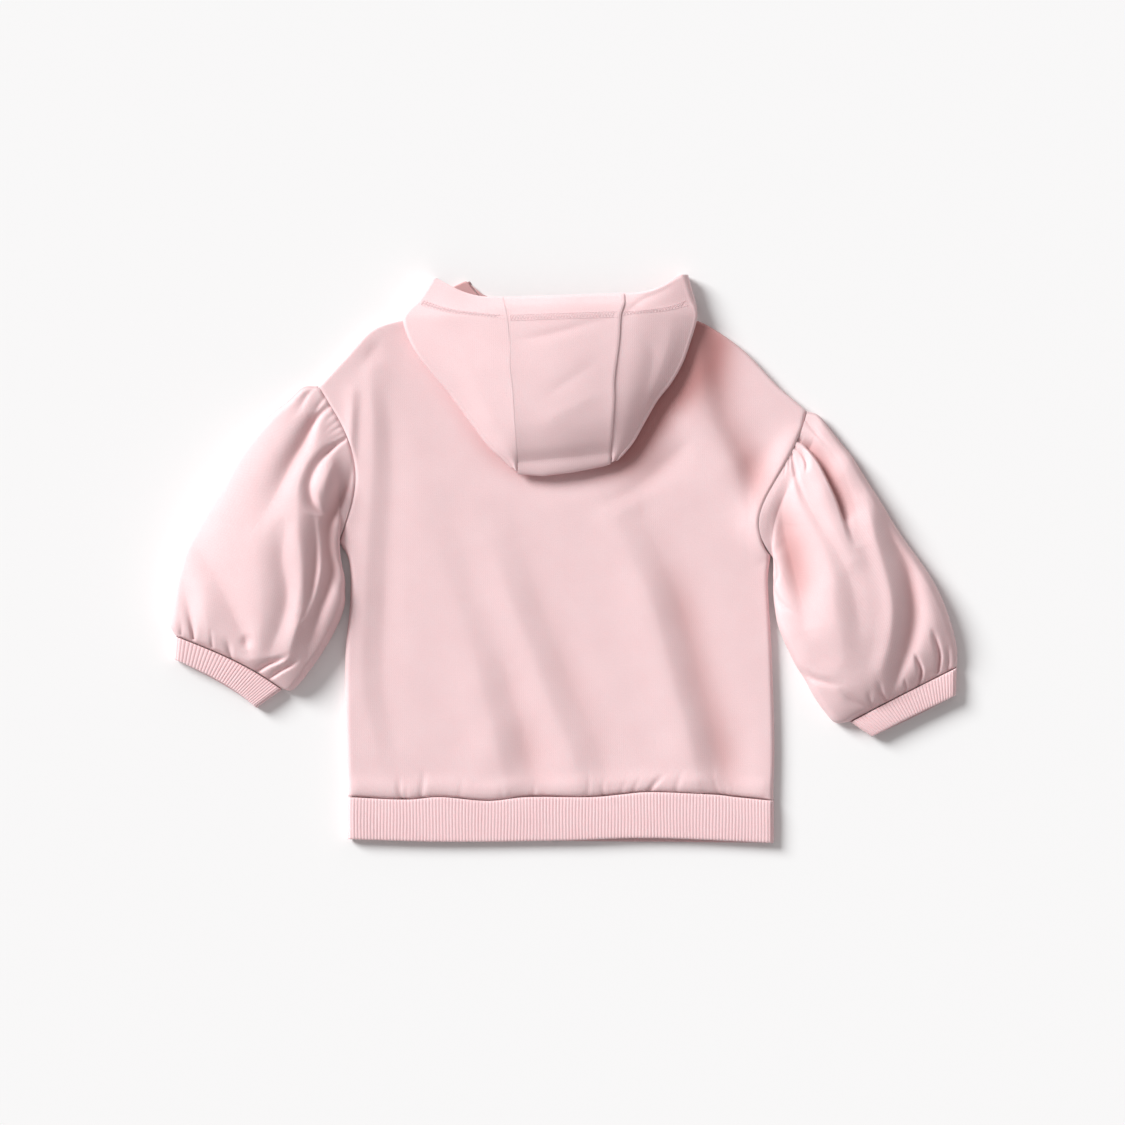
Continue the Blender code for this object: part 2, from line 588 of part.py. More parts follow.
# ---- sleeves ----
def sleeve_ring(side, ring, fullness):
    """One ring of a sleeve: over the top from its outer to its inner edge, back below."""
    outer = np.array([ring.outer_x, ring.outer_y], dtype=float)
    inner = np.array([ring.inner_x, ring.inner_y], dtype=float)
    length = np.hypot(*(inner - outer))
    over = across(length, SLEEVE_TOP_STEPS, ring.edge, 3)
    under = across(length, SLEEVE_UNDER_STEPS, ring.edge, 3)[::-1][1:-1]
    along = np.concatenate([over, under])
    share = along / length
    on_top = np.arange(len(along)) < len(over)
    lean = ARMHOLES[side].lean ** (1 - fullness)
    held = np.clip((along - ring.edge) / (length - 2 * ring.edge), 0, 1)
    bow = ring.bow * np.sin(math.pi * np.where(on_top, share, held) ** lean)
    x = outer[0] + (inner[0] - outer[0]) * share + bow
    y = outer[1] + (inner[1] - outer[1]) * share
    rounding = from_edge(np.minimum(along, length - along), ring.edge)
    dome = np.sin(math.pi * np.clip(share, 0, 1)) ** (1 - DOME_FLATTER * fullness)
    depth = (ring.height - FOLDS_FROM[0]) / (FOLDS_FROM[1] - FOLDS_FROM[0])
    fold = relief(x, y, SLEEVE_FOLDS[side]) * np.clip(depth, FOLDS_LEAST, 1)
    edge_top = 2 * ring.edge
    crown = edge_top + np.maximum(ring.height - edge_top, 0) * dome + fold * np.sqrt(dome)
    z_over = ring.edge + (np.maximum(crown, LEAST_TOP * edge_top) - ring.edge) * rounding
    z_under = ring.edge * (1 - rounding)
    return np.column_stack([x, y, np.where(on_top, z_over, z_under)])


def make_sleeve(side):
    rings = SLEEVES[side]
    grid = []
    for index, ring in enumerate(rings):
        grid.append(sleeve_ring(side, ring, min(1.0, index / SLEEVE_FULL_FROM)))
        if index in SLEEVE_HALVED:
            between = Ring(*(0.5 * (a + b) for a, b in zip(ring, rings[index + 1])))
            grid.append(sleeve_ring(side, between, min(1.0, (index + 0.5) / SLEEVE_FULL_FROM)))
    return cloth("sleeve_" + side, [grid], MATERIALS["fleece"], closed=True,
                 turned=(side == "left"), even=False)


# ---- hood ----
def fold_arc(row, way):
    """Rounding of the hood's side fold, from its top line to its bottom line."""
    radius = (row.fold_top - row.fold_low) / 2
    middle = (row.fold_top + row.fold_low) / 2
    angles = np.radians(FOLD_ANGLES)
    depth = FOLD_DEPTH * radius
    x = row.fold_x - way * depth * (1 - np.cos(angles))
    return np.column_stack([x, np.full(len(angles), row.fold_y), middle + radius * np.sin(angles)])


def hood_upper(side):
    """Visible layer of a side panel: from the strip's seam out to the side fold and round it."""
    way = -1 if side == "left" else 1
    grid = []
    for index, row in enumerate(HOOD_ROWS[side]):
        arc = fold_arc(row, way)
        seam = np.array([row.seam_x + way * HOOD_SEAM / 2, row.seam_y, row.seam_z])
        share = np.linspace(0, 1, HOOD_STEPS)[:-1, None]
        line = seam + (arc[0] - seam) * share
        sag = RIM_SAG[side] * max(0.0, 1 - index / RIM_ROWS)
        line[:, 1] -= sag * np.sin(math.pi * share[:, 0])
        line[:, 2] += HOOD_CROWN * np.sin(math.pi * share[:, 0])
        grid.append(np.vstack([line, arc]))
    return grid


def back_neck_y(x):
    """Back neckline."""
    neck = ABOVE_ARMHOLE[-1]
    share = np.clip((x - neck.left_x) / (neck.right_x - neck.left_x), 0, 1)
    level = neck.left_y + (neck.right_y - neck.left_y) * share
    return level - NECK_DIP * np.sin(math.pi * share)


def on_back(x, y):
    """Underside of hood cloth that lies on the back panel, clear of its shoulder folds."""
    neck = ABOVE_ARMHOLE[-1]
    near = np.minimum(x - neck.left_x, neck.right_x - x)
    least = np.where(near < HOOD_CORNER, EDGE_TOP + HOOD_REST, 0)
    return np.maximum(back_height(x, y) + HOOD_REST, least)


def hood_nape(side, upper):
    """Layer that lies on the back: from the side fold in to the neckline and lower seam."""
    way = -1 if side == "left" else 1
    share = np.linspace(0, 1, HOOD_STEPS)
    grid = []
    for index, row in enumerate(HOOD_ROWS[side]):
        start = upper[index][-1]
        least = row.fold_low if row is HOOD_ROWS[side][-1] else 0
        if index == HOOD_PART_ROW:
            far = way * (STRIP_HALF + HOOD_SEAM / 2)
            x = np.linspace(start[0] - way * NECK_TURN, far, HOOD_STEPS - 1)
            line = np.column_stack([x, back_neck_y(x), on_back(x, back_neck_y(x))])
            line[0, 1] += NECK_STEP
            grid.append(np.vstack([start, line]))
        elif index > HOOD_PART_ROW:
            end = np.array([row.low_x + way * HOOD_SEAM / 2, row.low_y])
            plan = start[:2] + np.outer(share, end - start[:2])
            z = np.maximum(on_back(plan[:, 0], plan[:, 1]), least)
            z[0] = start[2]
            grid.append(np.column_stack([plan, z]))
    return grid


def hood_flap(side, upper):
    """Layer in front of the neck: from the side fold in to where the two halves meet."""
    way = -1 if side == "left" else 1
    far = np.array(FLAP_EDGE[side], dtype=float)
    top = np.vstack([upper[0][-1][:2], far[1:]])
    near = [neck_point(side, angle, SEAM_GAP) for angle in FLAP_NECK_ANGLES]
    near[-1] = (ZIP_X + way * HALVES_GAP, near[-1][1])
    bottom = np.vstack([upper[HOOD_PART_ROW][-1][:2], np.array(near)])
    grid = []
    for index in range(HOOD_PART_ROW + 1):
        share = index / HOOD_PART_ROW
        plan = top + (bottom - top) * share
        plan[0] = upper[index][-1][:2]
        z = slider_lift(plan[:, 0], plan[:, 1], FRONT_LIFT)
        z[0] = upper[index][-1][2]
        grid.append(np.column_stack([plan, z]))
    return grid


def make_hood_side(side):
    upper = hood_upper(side)
    grids = [upper, hood_nape(side, upper), hood_flap(side, upper)]
    return cloth("hood_" + side, grids, MATERIALS["fleece"], turned=(side == "right"))


def make_hood_centre():
    """Centre strip: down from the face opening, round the bottom fold, back up to the neck."""
    left, right = HOOD_ROWS["left"], HOOD_ROWS["right"]
    share = np.linspace(0, 1, STRIP_STEPS + 1)
    grid = []
    for a, b in zip(left[:-1], right[:-1]):
        x = a.seam_x + (b.seam_x - a.seam_x) * share
        y = a.seam_y + (b.seam_y - a.seam_y) * share
        z = a.seam_z + STRIP_CROWN * np.sin(math.pi * share)
        grid.append(np.column_stack([x, y, z]))
    low, high = left[-2].fold_low, left[-2].seam_z
    middle, radius = (low + high) / 2, (high - low) / 2
    last_x, last_y = grid[-1][:, 0], grid[-1][:, 1]
    for angle in FOLD_ANGLES[1:-1]:
        turn = math.radians(angle)
        y = last_y - (last_y - hem_line(last_x, STRIP_EDGE)) * math.cos(turn)
        crown = STRIP_CROWN * np.sin(math.pi * share) * max(math.sin(turn), 0)
        grid.append(np.column_stack([last_x, y, middle + radius * math.sin(turn) + crown]))
    for a, b in zip(left[-2:HOOD_PART_ROW:-1], right[-2:HOOD_PART_ROW:-1]):
        x = a.low_x + (b.low_x - a.low_x) * share
        y = a.low_y + (b.low_y - a.low_y) * share
        grid.append(np.column_stack([x, y, on_back(x, y)]))
    x = STRIP_HALF * (2 * share - 1)
    y = back_neck_y(x)
    grid.append(np.column_stack([x, y, on_back(x, y)]))
    return cloth("hood_centre", [grid], MATERIALS["fleece"], turned=True)


# ---- zip ----
def zip_rows():
    return np.concatenate([np.linspace(ZIP_BOTTOM_Y, LIFT_Y - LIFT_REACH, 6),
                           np.linspace(LIFT_Y - LIFT_REACH, ZIP_TOP_Y, 9)[1:]])


def make_strip(name, x_low, x_high, bottom, thickness, material, top_y):
    """A straight strip along the zip, which rises with the cloth round the slider."""
    grid = []
    for y in np.minimum(zip_rows(), top_y):
        if grid and abs(y - grid[-1][0][1]) < 0.01:
            continue
        x = np.array([x_low, x_high])
        z = bottom + slider_lift(np.full(2, ZIP_X), np.full(2, y), FRONT_LIFT)
        grid.append(np.column_stack([x, np.full(2, y), z]))
    return cloth(name, [grid], material, thickness, turned=True)


def block(shape, x, y, z):
    """A box between the given limits, in millimetres, added to a bmesh."""
    corners = [(x[i], y[j], z[k]) for k in (0, 1) for j in (0, 1) for i in (0, 1)]
    made = bmesh.ops.create_cube(shape, size=1.0)["verts"]
    for vert in made:
        index = [int(value > 0) for value in vert.co]
        corner = corners[index[0] + 2 * index[1] + 4 * index[2]]
        vert.co = [value * MM for value in corner]


def joined(name, blocks, material):
    """One solid from several boxes that run into each other."""
    pieces = []
    for number, limits in enumerate(blocks):
        shape = bmesh.new()
        block(shape, *limits)
        mesh = bpy.data.meshes.new(f"{name}_{number}")
        shape.to_mesh(mesh)
        shape.free()
        pieces.append(bpy.data.objects.new(f"{name}_{number}", mesh))
    body = pieces[0]
    body.name = name
    body.data.materials.append(material)
    GARMENT.objects.link(body)
    for cutter in pieces[1:]:
        CUTTERS.objects.link(cutter)
        cutter.hide_render = True
        cutter.display_type = "WIRE"
        union = body.modifiers.new(cutter.name, "BOOLEAN")
        union.operation = "UNION"
        union.object = cutter
    return body


def make_slider():
    half, long_half = SLIDER_WIDTH / 2, SLIDER_LENGTH / 2
    post_y = (SLIDER_Y + long_half - POST_LENGTH, SLIDER_Y + long_half)
    x = (ZIP_X - half, ZIP_X + half)
    y = (SLIDER_Y - long_half, SLIDER_Y + long_half)
    post_x = (ZIP_X - POST_WIDTH / 2, ZIP_X + POST_WIDTH / 2)
    bail_x = (ZIP_X - BAIL_WIDTH / 2, ZIP_X + BAIL_WIDTH / 2)
    leg_z = (BAIL_LOW, LOW_PLATE[0] + PLATE_BITE)
    post_z = (LOW_PLATE[1] - PLATE_BITE, HIGH_PLATE[0] + PLATE_BITE)
    bar_y = (SLIDER_Y - BAIL_REACH + BAIL_LEG / 2, SLIDER_Y + BAIL_REACH - BAIL_LEG / 2)
    return joined("zip_slider", [
        (x, y, LOW_PLATE),
        (post_x, post_y, post_z),
        (x, y, HIGH_PLATE),
        (bail_x, (SLIDER_Y - BAIL_REACH, SLIDER_Y - BAIL_REACH + BAIL_LEG), leg_z),
        (bail_x, (SLIDER_Y + BAIL_REACH - BAIL_LEG, SLIDER_Y + BAIL_REACH), leg_z),
        (bail_x, bar_y, (BAIL_LOW, BAIL_LOW + BAIL_BAR)),
    ], MATERIALS["zip_metal"])


def make_pull():
    """Pull tab: a flat tongue with an eye, whose end bar lies inside the slider's bail."""
    eye, eye_length = TAB_WINDOW[0] / 2, TAB_WINDOW[1]
    half = TAB_WIDTH / 2
    z = (HINGE_Z - TAB_THICK / 2, HINGE_Z + TAB_THICK / 2)
    near, far = SLIDER_Y + TAB_BAR, SLIDER_Y - TAB_LENGTH
    sides_y = (SLIDER_Y - eye_length - TAB_BITE, near)
    bar_x = (ZIP_X - eye - TAB_BITE, ZIP_X + eye + TAB_BITE)
    return joined("zip_pull", [
        ((ZIP_X - half, ZIP_X + half), (far, SLIDER_Y - eye_length), z),
        ((ZIP_X - half, ZIP_X - eye), sides_y, z),
        ((ZIP_X + eye, ZIP_X + half), sides_y, z),
        (bar_x, (SLIDER_Y - TAB_BAR, near), z),
    ], MATERIALS["zip_metal"])


def make_zip():
    tape = MATERIALS["zip_tape"]
    make_strip("zip_tape_left", ZIP_X - TAPE_OUTER, ZIP_X - TAPE_INNER, TAPE_LOW, TAPE_THICK,
               tape, ZIP_TOP_Y)
    make_strip("zip_tape_right", ZIP_X + TAPE_INNER, ZIP_X + TAPE_OUTER, TAPE_LOW, TAPE_THICK,
               tape, ZIP_TOP_Y)
    make_strip("zip_chain", ZIP_X - CHAIN_HALF, ZIP_X + CHAIN_HALF, CHAIN_LOW, CHAIN_THICK,
               MATERIALS["zip_nylon"], SLIDER_Y + SLIDER_LENGTH / 2 - POST_LENGTH - CHAIN_CLEAR)
    make_slider()
    make_pull()


def new_material(name, colour, roughness, metallic):
    material = bpy.data.materials.new(name)
    material.use_nodes = True
    shader = material.node_tree.nodes["Principled BSDF"]
    shader.inputs["Base Color"].default_value = (*colour, 1)
    shader.inputs["Roughness"].default_value = roughness
    shader.inputs["Metallic"].default_value = metallic
    material.diffuse_color = (*colour, 1)
    return material


for old in list(bpy.data.objects):
    bpy.data.objects.remove(old, do_unlink=True)
GARMENT = bpy.data.collections.new("zip_up_hoodie")
CUTTERS = bpy.data.collections.new("cutters")
bpy.context.scene.collection.children.link(GARMENT)
bpy.context.scene.collection.children.link(CUTTERS)
MATERIALS = {name: new_material(name, *look) for name, look in COLOURS.items()}

make_back()
make_hem()
for each_side in ("left", "right"):
    make_front(each_side)
    make_sleeve(each_side)
    make_cuff(each_side)
    make_hood_side(each_side)
make_hood_centre()
make_zip()
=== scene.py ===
import math

import bpy
import numpy as np
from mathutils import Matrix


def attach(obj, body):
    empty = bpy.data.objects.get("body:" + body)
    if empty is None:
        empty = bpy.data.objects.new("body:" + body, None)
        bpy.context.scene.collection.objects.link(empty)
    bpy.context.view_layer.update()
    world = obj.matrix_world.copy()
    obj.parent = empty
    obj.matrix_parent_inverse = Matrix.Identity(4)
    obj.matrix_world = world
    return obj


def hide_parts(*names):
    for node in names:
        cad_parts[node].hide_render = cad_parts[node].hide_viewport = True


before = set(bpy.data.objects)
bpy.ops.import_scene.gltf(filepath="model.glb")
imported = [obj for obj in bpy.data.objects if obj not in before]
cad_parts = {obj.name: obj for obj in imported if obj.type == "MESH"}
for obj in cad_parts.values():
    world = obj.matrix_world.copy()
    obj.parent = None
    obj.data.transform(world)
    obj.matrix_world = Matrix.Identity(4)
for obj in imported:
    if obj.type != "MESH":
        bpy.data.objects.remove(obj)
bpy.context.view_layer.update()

print("frame loaded,", len(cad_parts), "solids")

# A child's zip-up hoodie, laid face down.  Tables are in millimetres: x runs from the left
# sleeve to the right one as seen from above, y from the hem to the hood, z up off the surface.
mm = 0.001
wayOut = {"left": -1, "right": 1}                    # the way out from the middle, along x


def linear(hexCode):  # sRGB hex to the linear red, green, blue and alpha a shader reads
    parts = [int(hexCode[place:place + 2], 16) / 255 for place in (1, 3, 5)]
    return tuple(p / 12.92 if p <= 0.04045 else ((p + 0.055) / 1.055) ** 2.4 for p in parts) + (1.0,)


def addNode(tree, kind, inputs=None, **settings):  # a node with its settings, values and links
    node = tree.nodes.new(kind)
    for name, value in settings.items():
        setattr(node, name, value)
    for key, value in (inputs or {}).items():
        if isinstance(value, bpy.types.NodeSocket):
            tree.links.new(value, node.inputs[key])
        else:
            node.inputs[key].default_value = value
    return node


def addMath(tree, operation, *values):  # one sum on sockets and numbers, in that order
    return addNode(tree, "ShaderNodeMath", dict(enumerate(values)), operation=operation).outputs[0]


def addMix(tree, share, first, second, **settings):  # from the first colour to the second
    return addNode(tree, "ShaderNodeMix", {"Factor": share, "A": first, "B": second},
                   data_type="RGBA", **settings).outputs["Result"]


def addNoise(tree, place, scale, detail, roughness=0.5):  # cloudy grey, scale clouds to the metre
    return addNode(tree, "ShaderNodeTexNoise", {"Vector": place, "Scale": scale, "Detail": detail,
                                                "Roughness": roughness}).outputs["Fac"]


def addRange(tree, value, low, high, newLow, newHigh, **settings):  # low to high onto a new range
    return addNode(tree, "ShaderNodeMapRange", {0: value, 1: low, 2: high, 3: newLow, 4: newHigh},
                   **settings).outputs[0]


def addBump(tree, height, strength, reachMm):  # the normal of a surface with that fine relief
    return addNode(tree, "ShaderNodeBump", {"Height": height, "Strength": strength,
                                            "Distance": reachMm * mm}).outputs["Normal"]


def newMaterial(name):  # a material whose node tree is still empty
    material = bpy.data.materials.new(name)
    material.use_nodes = True
    material.node_tree.nodes.clear()
    return material, material.node_tree


def addShader(tree, inputs):  # the shader that every other node leads to
    shader = addNode(tree, "ShaderNodeBsdfPrincipled", inputs)
    addNode(tree, "ShaderNodeOutputMaterial", {"Surface": shader.outputs["BSDF"]})


def smoothAt(table, places):
    # a cubic through the rows of a table, each span leaning on the rows before and after it
    table = np.asarray(table, float)
    padded = np.vstack([2 * table[0] - table[1], table, 2 * table[-1] - table[-2]])
    places = np.clip(np.asarray(places, float), 0, len(table) - 1)
    low = np.minimum(places.astype(int), len(table) - 2)
    part = (places - low)[:, None]
    a, b, c, d = (padded[low + step] for step in range(4))
    return b + 0.5 * part * (c - a + part * (2 * a - 5 * b + 4 * c - d
                                             + part * (3 * b - a - 3 * c + d)))


def runAlong(line):  # distance along a line of points, from the first to each
    return np.concatenate([[0], np.cumsum(np.linalg.norm(np.diff(line, axis=0), axis=1))])


def evenPlaces(table, count):  # places along a table's rows, an equal plan distance apart
    fine = np.linspace(0, len(table) - 1, 40 * len(table))
    along = runAlong(smoothAt(np.asarray(table, float)[:, :2], fine))
    return np.interp(np.linspace(0, along[-1], count), along, fine)


def stacked(*parts):  # coordinates that stretch to one size, put together point by point
    return np.stack(np.broadcast_arrays(*parts), axis=-1)


def bell(distance, reach):  # 1 at no distance, e to the minus square of distance over reach
    return np.exp(-(distance / reach) ** 2)


def smoothStep(value):  # from 0 to 1 along an S: three squares less two cubes
    share = np.clip(value, 0, 1)
    return share * share * (3 - 2 * share)


def halfWave(share):  # half a sine: 0 at both ends, 1 half way
    return np.sin(math.pi * share)


def quarterRound(distance, reach):  # 0 at an edge and 1 from reach on, along a quarter circle
    share = np.clip(distance / reach, 0, 1)
    return np.sqrt(np.clip(1 - (1 - share) ** 2, 0, 1))


def rollSteps(radius, count):  # distances in from a rolled edge, at even turns of a quarter circle
    return radius * (1 - np.cos(np.linspace(0, math.pi / 2, count)))


def creaseHeight(x, y, creases):
    # Each crease is a bent line of (x, y, height, reach to its left, reach to its right).  Height
    # falls off from the line as a bell curve; where creases meet, the cube root of the sum of
    # their cubes lets the larger one lead.
    ridge, hollow = np.zeros(x.size), np.zeros(x.size)
    flatX, flatY = x.ravel(), y.ravel()
    for crease in creases:
        line = smoothAt(crease, np.linspace(0, len(crease) - 1, 5 * len(crease) - 4))
        margin = 2.5 * line[:, 3:].max()
        (lowX, lowY), (highX, highY) = line[:, :2].min(axis=0) - margin, line[:, :2].max(axis=0) + margin
        near = np.flatnonzero((flatX > lowX) & (flatX < highX) & (flatY > lowY) & (flatY < highY))
        if not near.size:
            continue
        fromX, fromY = flatX[near, None] - line[:-1, 0], flatY[near, None] - line[:-1, 1]
        alongX, alongY = np.diff(line[:, 0]), np.diff(line[:, 1])
        share = np.clip((fromX * alongX + fromY * alongY) / (alongX ** 2 + alongY ** 2), 0, 1)
        offX, offY = fromX - share * alongX, fromY - share * alongY
        away = np.hypot(offX, offY)
        span = away.argmin(axis=1)                   # the crease's span that lies nearest
        pick = (np.arange(near.size), span)
        share, away = share[pick], away[pick]
        onLeft = alongX[span] * offY[pick] - alongY[span] * offX[pick] > 0
        height, left, right = (line[span, k] + share * (line[span + 1, k] - line[span, k])
                               for k in (2, 3, 4))
        value = height * np.exp(-(away / np.maximum(np.where(onLeft, left, right), 0.5)) ** 1.6)
        ridge[near] += np.maximum(value, 0) ** 3
        hollow[near] += np.maximum(-value, 0) ** 3
    return np.cbrt(ridge).reshape(x.shape), np.cbrt(hollow).reshape(x.shape)


def softFold(points, apart):
    # one broad fold: a ridge through the points, and a hollow as deep beside it on the right;
    # each reaches further on the side where they meet
    ridge = [(x, y, height, 17, 22) for x, y, height in points]
    hollow = [(x + apart, y, -height, 22, 17) for x, y, height in points]
    return [ridge, hollow]


def handUneven(x, y, size=1.0):
    # slow swells of cloth that nobody smoothed out: products of sines with unlike lengths
    swell = np.sin(x / 31 + 1.7 * np.sin(y / 83)) * np.sin(y / 47 + 1.1 * np.sin(x / 61) + 0.6)
    small = np.sin(x / 13 + 2.1 * np.sin(y / 29 + 1)) * np.sin(y / 17 + 1.3 * np.sin(x / 23))
    return size * (0.35 * swell + 0.12 * small)


def gridQuads(rows, columns, start=0):  # corner numbers of a grid's faces, row by row
    low = start + np.arange(rows - 1)[:, None] * columns + np.arange(columns - 1)
    return np.stack([low, low + 1, low + columns + 1, low + columns], axis=-1).reshape(-1, 4)


def placeObject(name, data):  # an object at the origin, linked into the scene
    placed = bpy.data.objects.new(name, data)
    bpy.context.scene.collection.objects.link(placed)
    return placed


def makeMesh(name, points, faces):  # points in millimetres, faces as lists of corner numbers
    mesh = bpy.data.meshes.new(name)
    mesh.from_pydata((np.asarray(points) * mm).tolist(), [], faces)
    mesh.shade_smooth()
    return placeObject(name, mesh)


def makeCloth(name, grids, thickness, turned=False):
    # grids are (points, uv, hollow) on the cloth's outer side, welded where their points meet;
    # the wall grows inwards from there, so turned flips the faces of a grid that looks inwards
    points = np.vstack([g[0].reshape(-1, 3) for g in grids])
    uv = np.vstack([g[1].reshape(-1, 2) for g in grids])
    hollow = np.concatenate([g[2].ravel() for g in grids])
    faces, start = [], 0
    for grid, _, _ in grids:
        faces.append(gridQuads(*grid.shape[:2], start))
        start += grid.shape[0] * grid.shape[1]
    faces = np.vstack(faces)
    if turned:
        faces = faces[:, ::-1]
    piece = makeMesh(name, points, faces.tolist())
    layer = piece.data.uv_layers.new(name="cloth")
    layer.data.foreach_set("uv", (uv[faces.ravel()] * mm).astype(np.float32).ravel())
    # the hollow attribute: how much painted shade the knit material mixes into the colour, mostly a fold's
    # depth in mm
    depth = piece.data.attributes.new("hollow", "FLOAT", "POINT")
    depth.data.foreach_set("value", hollow.astype(np.float32))
    piece.modifiers.new("merge", "WELD").merge_threshold = 0.02 * mm
    wall = piece.modifiers.new("thickness", "SOLIDIFY")
    wall.thickness = thickness * mm
    wall.offset = -1
    wall.use_quality_normals = True
    return piece


def dress(piece, material, nodeName):
    # gives cloth its finish, hides the CAD part it stands for and hangs it on the garment
    piece.data.materials.append(material)
    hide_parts(nodeName)
    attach(piece, "garment")


knitLook = {
    "lightSide": "#F1D3D5",     # pale rose, where the brushed cotton catches the light
    "shade": "#ECCBCD",
    "deep": "#B5736F",          # painted shade: warm salmon mixed into the colour in the bottom of folds, where the hood shades the back, and over the hood's front flap
    "paintedShadeFrom": 0.8, "paintedShadeTo": 12.0, "paintedShadeMost": 0.78,   # fold depths in mm where the painted shade starts and where it is fullest, and its largest share
    "waleMm": 1.7,              # real wales are about 0.8 mm apart; drawn twice as coarse to show
    "courseMm": 1.3, "napMm": 0.9, "mottleMm": 26,
    "grain": (0.94, 1.045),     # darkest and lightest the nap makes the colour
    "knitShade": 0.010,         # how far wales and courses change it
    "bump": 0.32, "bumpMm": 0.12,
    "roughness": 0.86, "specular": 0.3, "sheen": 0.12, "sheenTint": "#FFD6D2",
    "scatter": 0.35, "scatterRadius": (0.5, 0.7, 0.7), "scatterScale": 0.005,
}


def knitMaterial(name, look):
    # Cotton sweatshirt knit, smooth face, brushed inside: it gives the eye a dry matt bloom,
    # the faint upright lines of its wales, a short nap that softens every edge, and the warmth
    # of light that has gone a little way through the pile.
    material, tree = newMaterial(name)
    place = addNode(tree, "ShaderNodeUVMap", uv_map="cloth").outputs["UV"]
    parts = addNode(tree, "ShaderNodeSeparateXYZ", {0: place})

    def wave(source, pitchMm):  # a sine with that many millimetres from crest to crest
        return addMath(tree, "SINE", addMath(tree, "MULTIPLY", source, 2 * math.pi / (pitchMm * mm)))

    wales = wave(parts.outputs["X"], look["waleMm"])
    courses = wave(parts.outputs["Y"], look["courseMm"])
    stitch = addMath(tree, "MULTIPLY", wales, courses)
    knit = addMath(tree, "MULTIPLY_ADD", wales, 0.35, stitch)
    nap = addNoise(tree, place, 1 / (look["napMm"] * mm), 3.0, 0.7)
    mottle = addNoise(tree, place, 1 / (look["mottleMm"] * mm), 2.0)
    tint = addMix(tree, mottle, linear(look["lightSide"]), linear(look["shade"]))
    grain = addRange(tree, nap, 0.3, 0.7, *look["grain"])
    lines = addMath(tree, "MULTIPLY_ADD", knit, look["knitShade"], grain)
    grained = addMix(tree, 1.0, tint, lines, blend_type="MULTIPLY")
    # painted shade: the hollow attribute, mostly fold depth, turns the colour towards the salmon deep colour
    hollow = addNode(tree, "ShaderNodeAttribute", attribute_name="hollow").outputs["Fac"]
    paintedShadeShare = addRange(tree, hollow, look["paintedShadeFrom"], look["paintedShadeTo"], 0.0, look["paintedShadeMost"],
                         interpolation_type="SMOOTHSTEP")
    colour = addMix(tree, paintedShadeShare, grained, linear(look["deep"]))
    relief = addMath(tree, "MULTIPLY_ADD", nap, 1.1, knit)
    addShader(tree, {
        "Base Color": colour, "Normal": addBump(tree, relief, look["bump"], look["bumpMm"]),
        "Roughness": look["roughness"], "Specular IOR Level": look["specular"],
        "Subsurface Weight": look["scatter"], "Subsurface Radius": look["scatterRadius"],
        "Subsurface Scale": look["scatterScale"], "Sheen Weight": look["sheen"],
        "Sheen Roughness": 0.5, "Sheen Tint": linear(look["sheenTint"])})
    return material


sweatshirtKnit = knitMaterial("brushedSweatshirtKnit", knitLook)
# the same cotton in cords: wales as wide as a rib, and less nap
ribKnit = knitMaterial("cottonRibKnit", dict(knitLook, lightSide="#F4D1D3", shade="#EFC9CC",
                                             waleMm=2.6, courseMm=1.1, bump=0.25))
# close-woven polyester in the cloth's own rose, a little stronger
wovenTape = knitMaterial("wovenZipTape", dict(knitLook, lightSide="#F2C2C6", shade="#EDB7BC",
                                              waleMm=1.0, courseMm=0.8, napMm=0.5))
print("finishes made")

body = {
    # left x, left y, right x, right y, y at the zip, from the hem seam to the underarm
    "lowerRows": [(-172, -190, 168, -193, -191), (-174, -132, 169, -146, -138),
                  (-174, -77, 167, -77, -77), (-170, -33, 165, -41, -37),
                  (-171, -2, 164, -17, -9), (-179, 14, 166, 3, 9)],
    # share of the armhole from the tip, y at the zip
    "armholeRows": [(1.0, 9), (0.84, 32), (0.67, 55), (0.5, 77), (0.34, 98), (0.17, 118), (0.0, 139)],
    # left x, left y, right x, right y, angle round the front neckline
    "shoulderRows": [(-196, 138, 195, 118, 0), (-185, 150, 183.5, 128, 13), (-174, 162, 172, 138, 26),
                     (-154, 183, 144, 167, 48), (-132, 191, 115, 187, 66), (-118, 194, 98, 193, 84)],
    "lowerSteps": 112, "armholeSteps": 72, "shoulderSteps": 34, "acrossSteps": 196, "frontSteps": 66,
    # tip x, tip y, underarm x, underarm y, bow, and how far the bow leans to the underarm
    "armholes": {"left": (-196, 138, -179, 14, 21.0, 1.0), "right": (195, 118, 166, 3, -17.5, 2.0)},
    "rolledShare": 0.14,        # share of an armhole, at each end, where the side fold still rolls
    "hemSeam": [(-172, -190), (-126, -192), (-98, -190), (-60, -193), (-28, -190), (22, -190),
                (46, -188), (71, -186), (120, -188), (138, -190), (168, -193)],
    "hemEdge": [(-171, -224), (-93, -226), (-2, -225), (71, -223), (169, -227)],
    "hemGap": 0.3, "hemFollow": 40,
    "frontHem": ((-172, 168), (-190, -193)), "frontHemEdge": ((-171, 169), (-224, -227)),
    "frontSeamZ": 3.85, "backSeamZ": 4.2, "edgeTop": 7.9, "top": 6.6, "loft": 1.2, "least": 4.3,
    "underHood": (-22, 150, 114, 92),                # middle x and y, and reaches, of what it covers
    "roll": 4.0, "puff": 14.0, "zipX": -6.0, "zipTop": 139.0, "frontEdge": 2.35,
    "propY": 125.0, "propReach": 60.0, "frontProp": 4.6, "backProp": 7.4,
    "neckDip": 15.0, "neckDipFrom": 158, "thickness": 2.0,
}

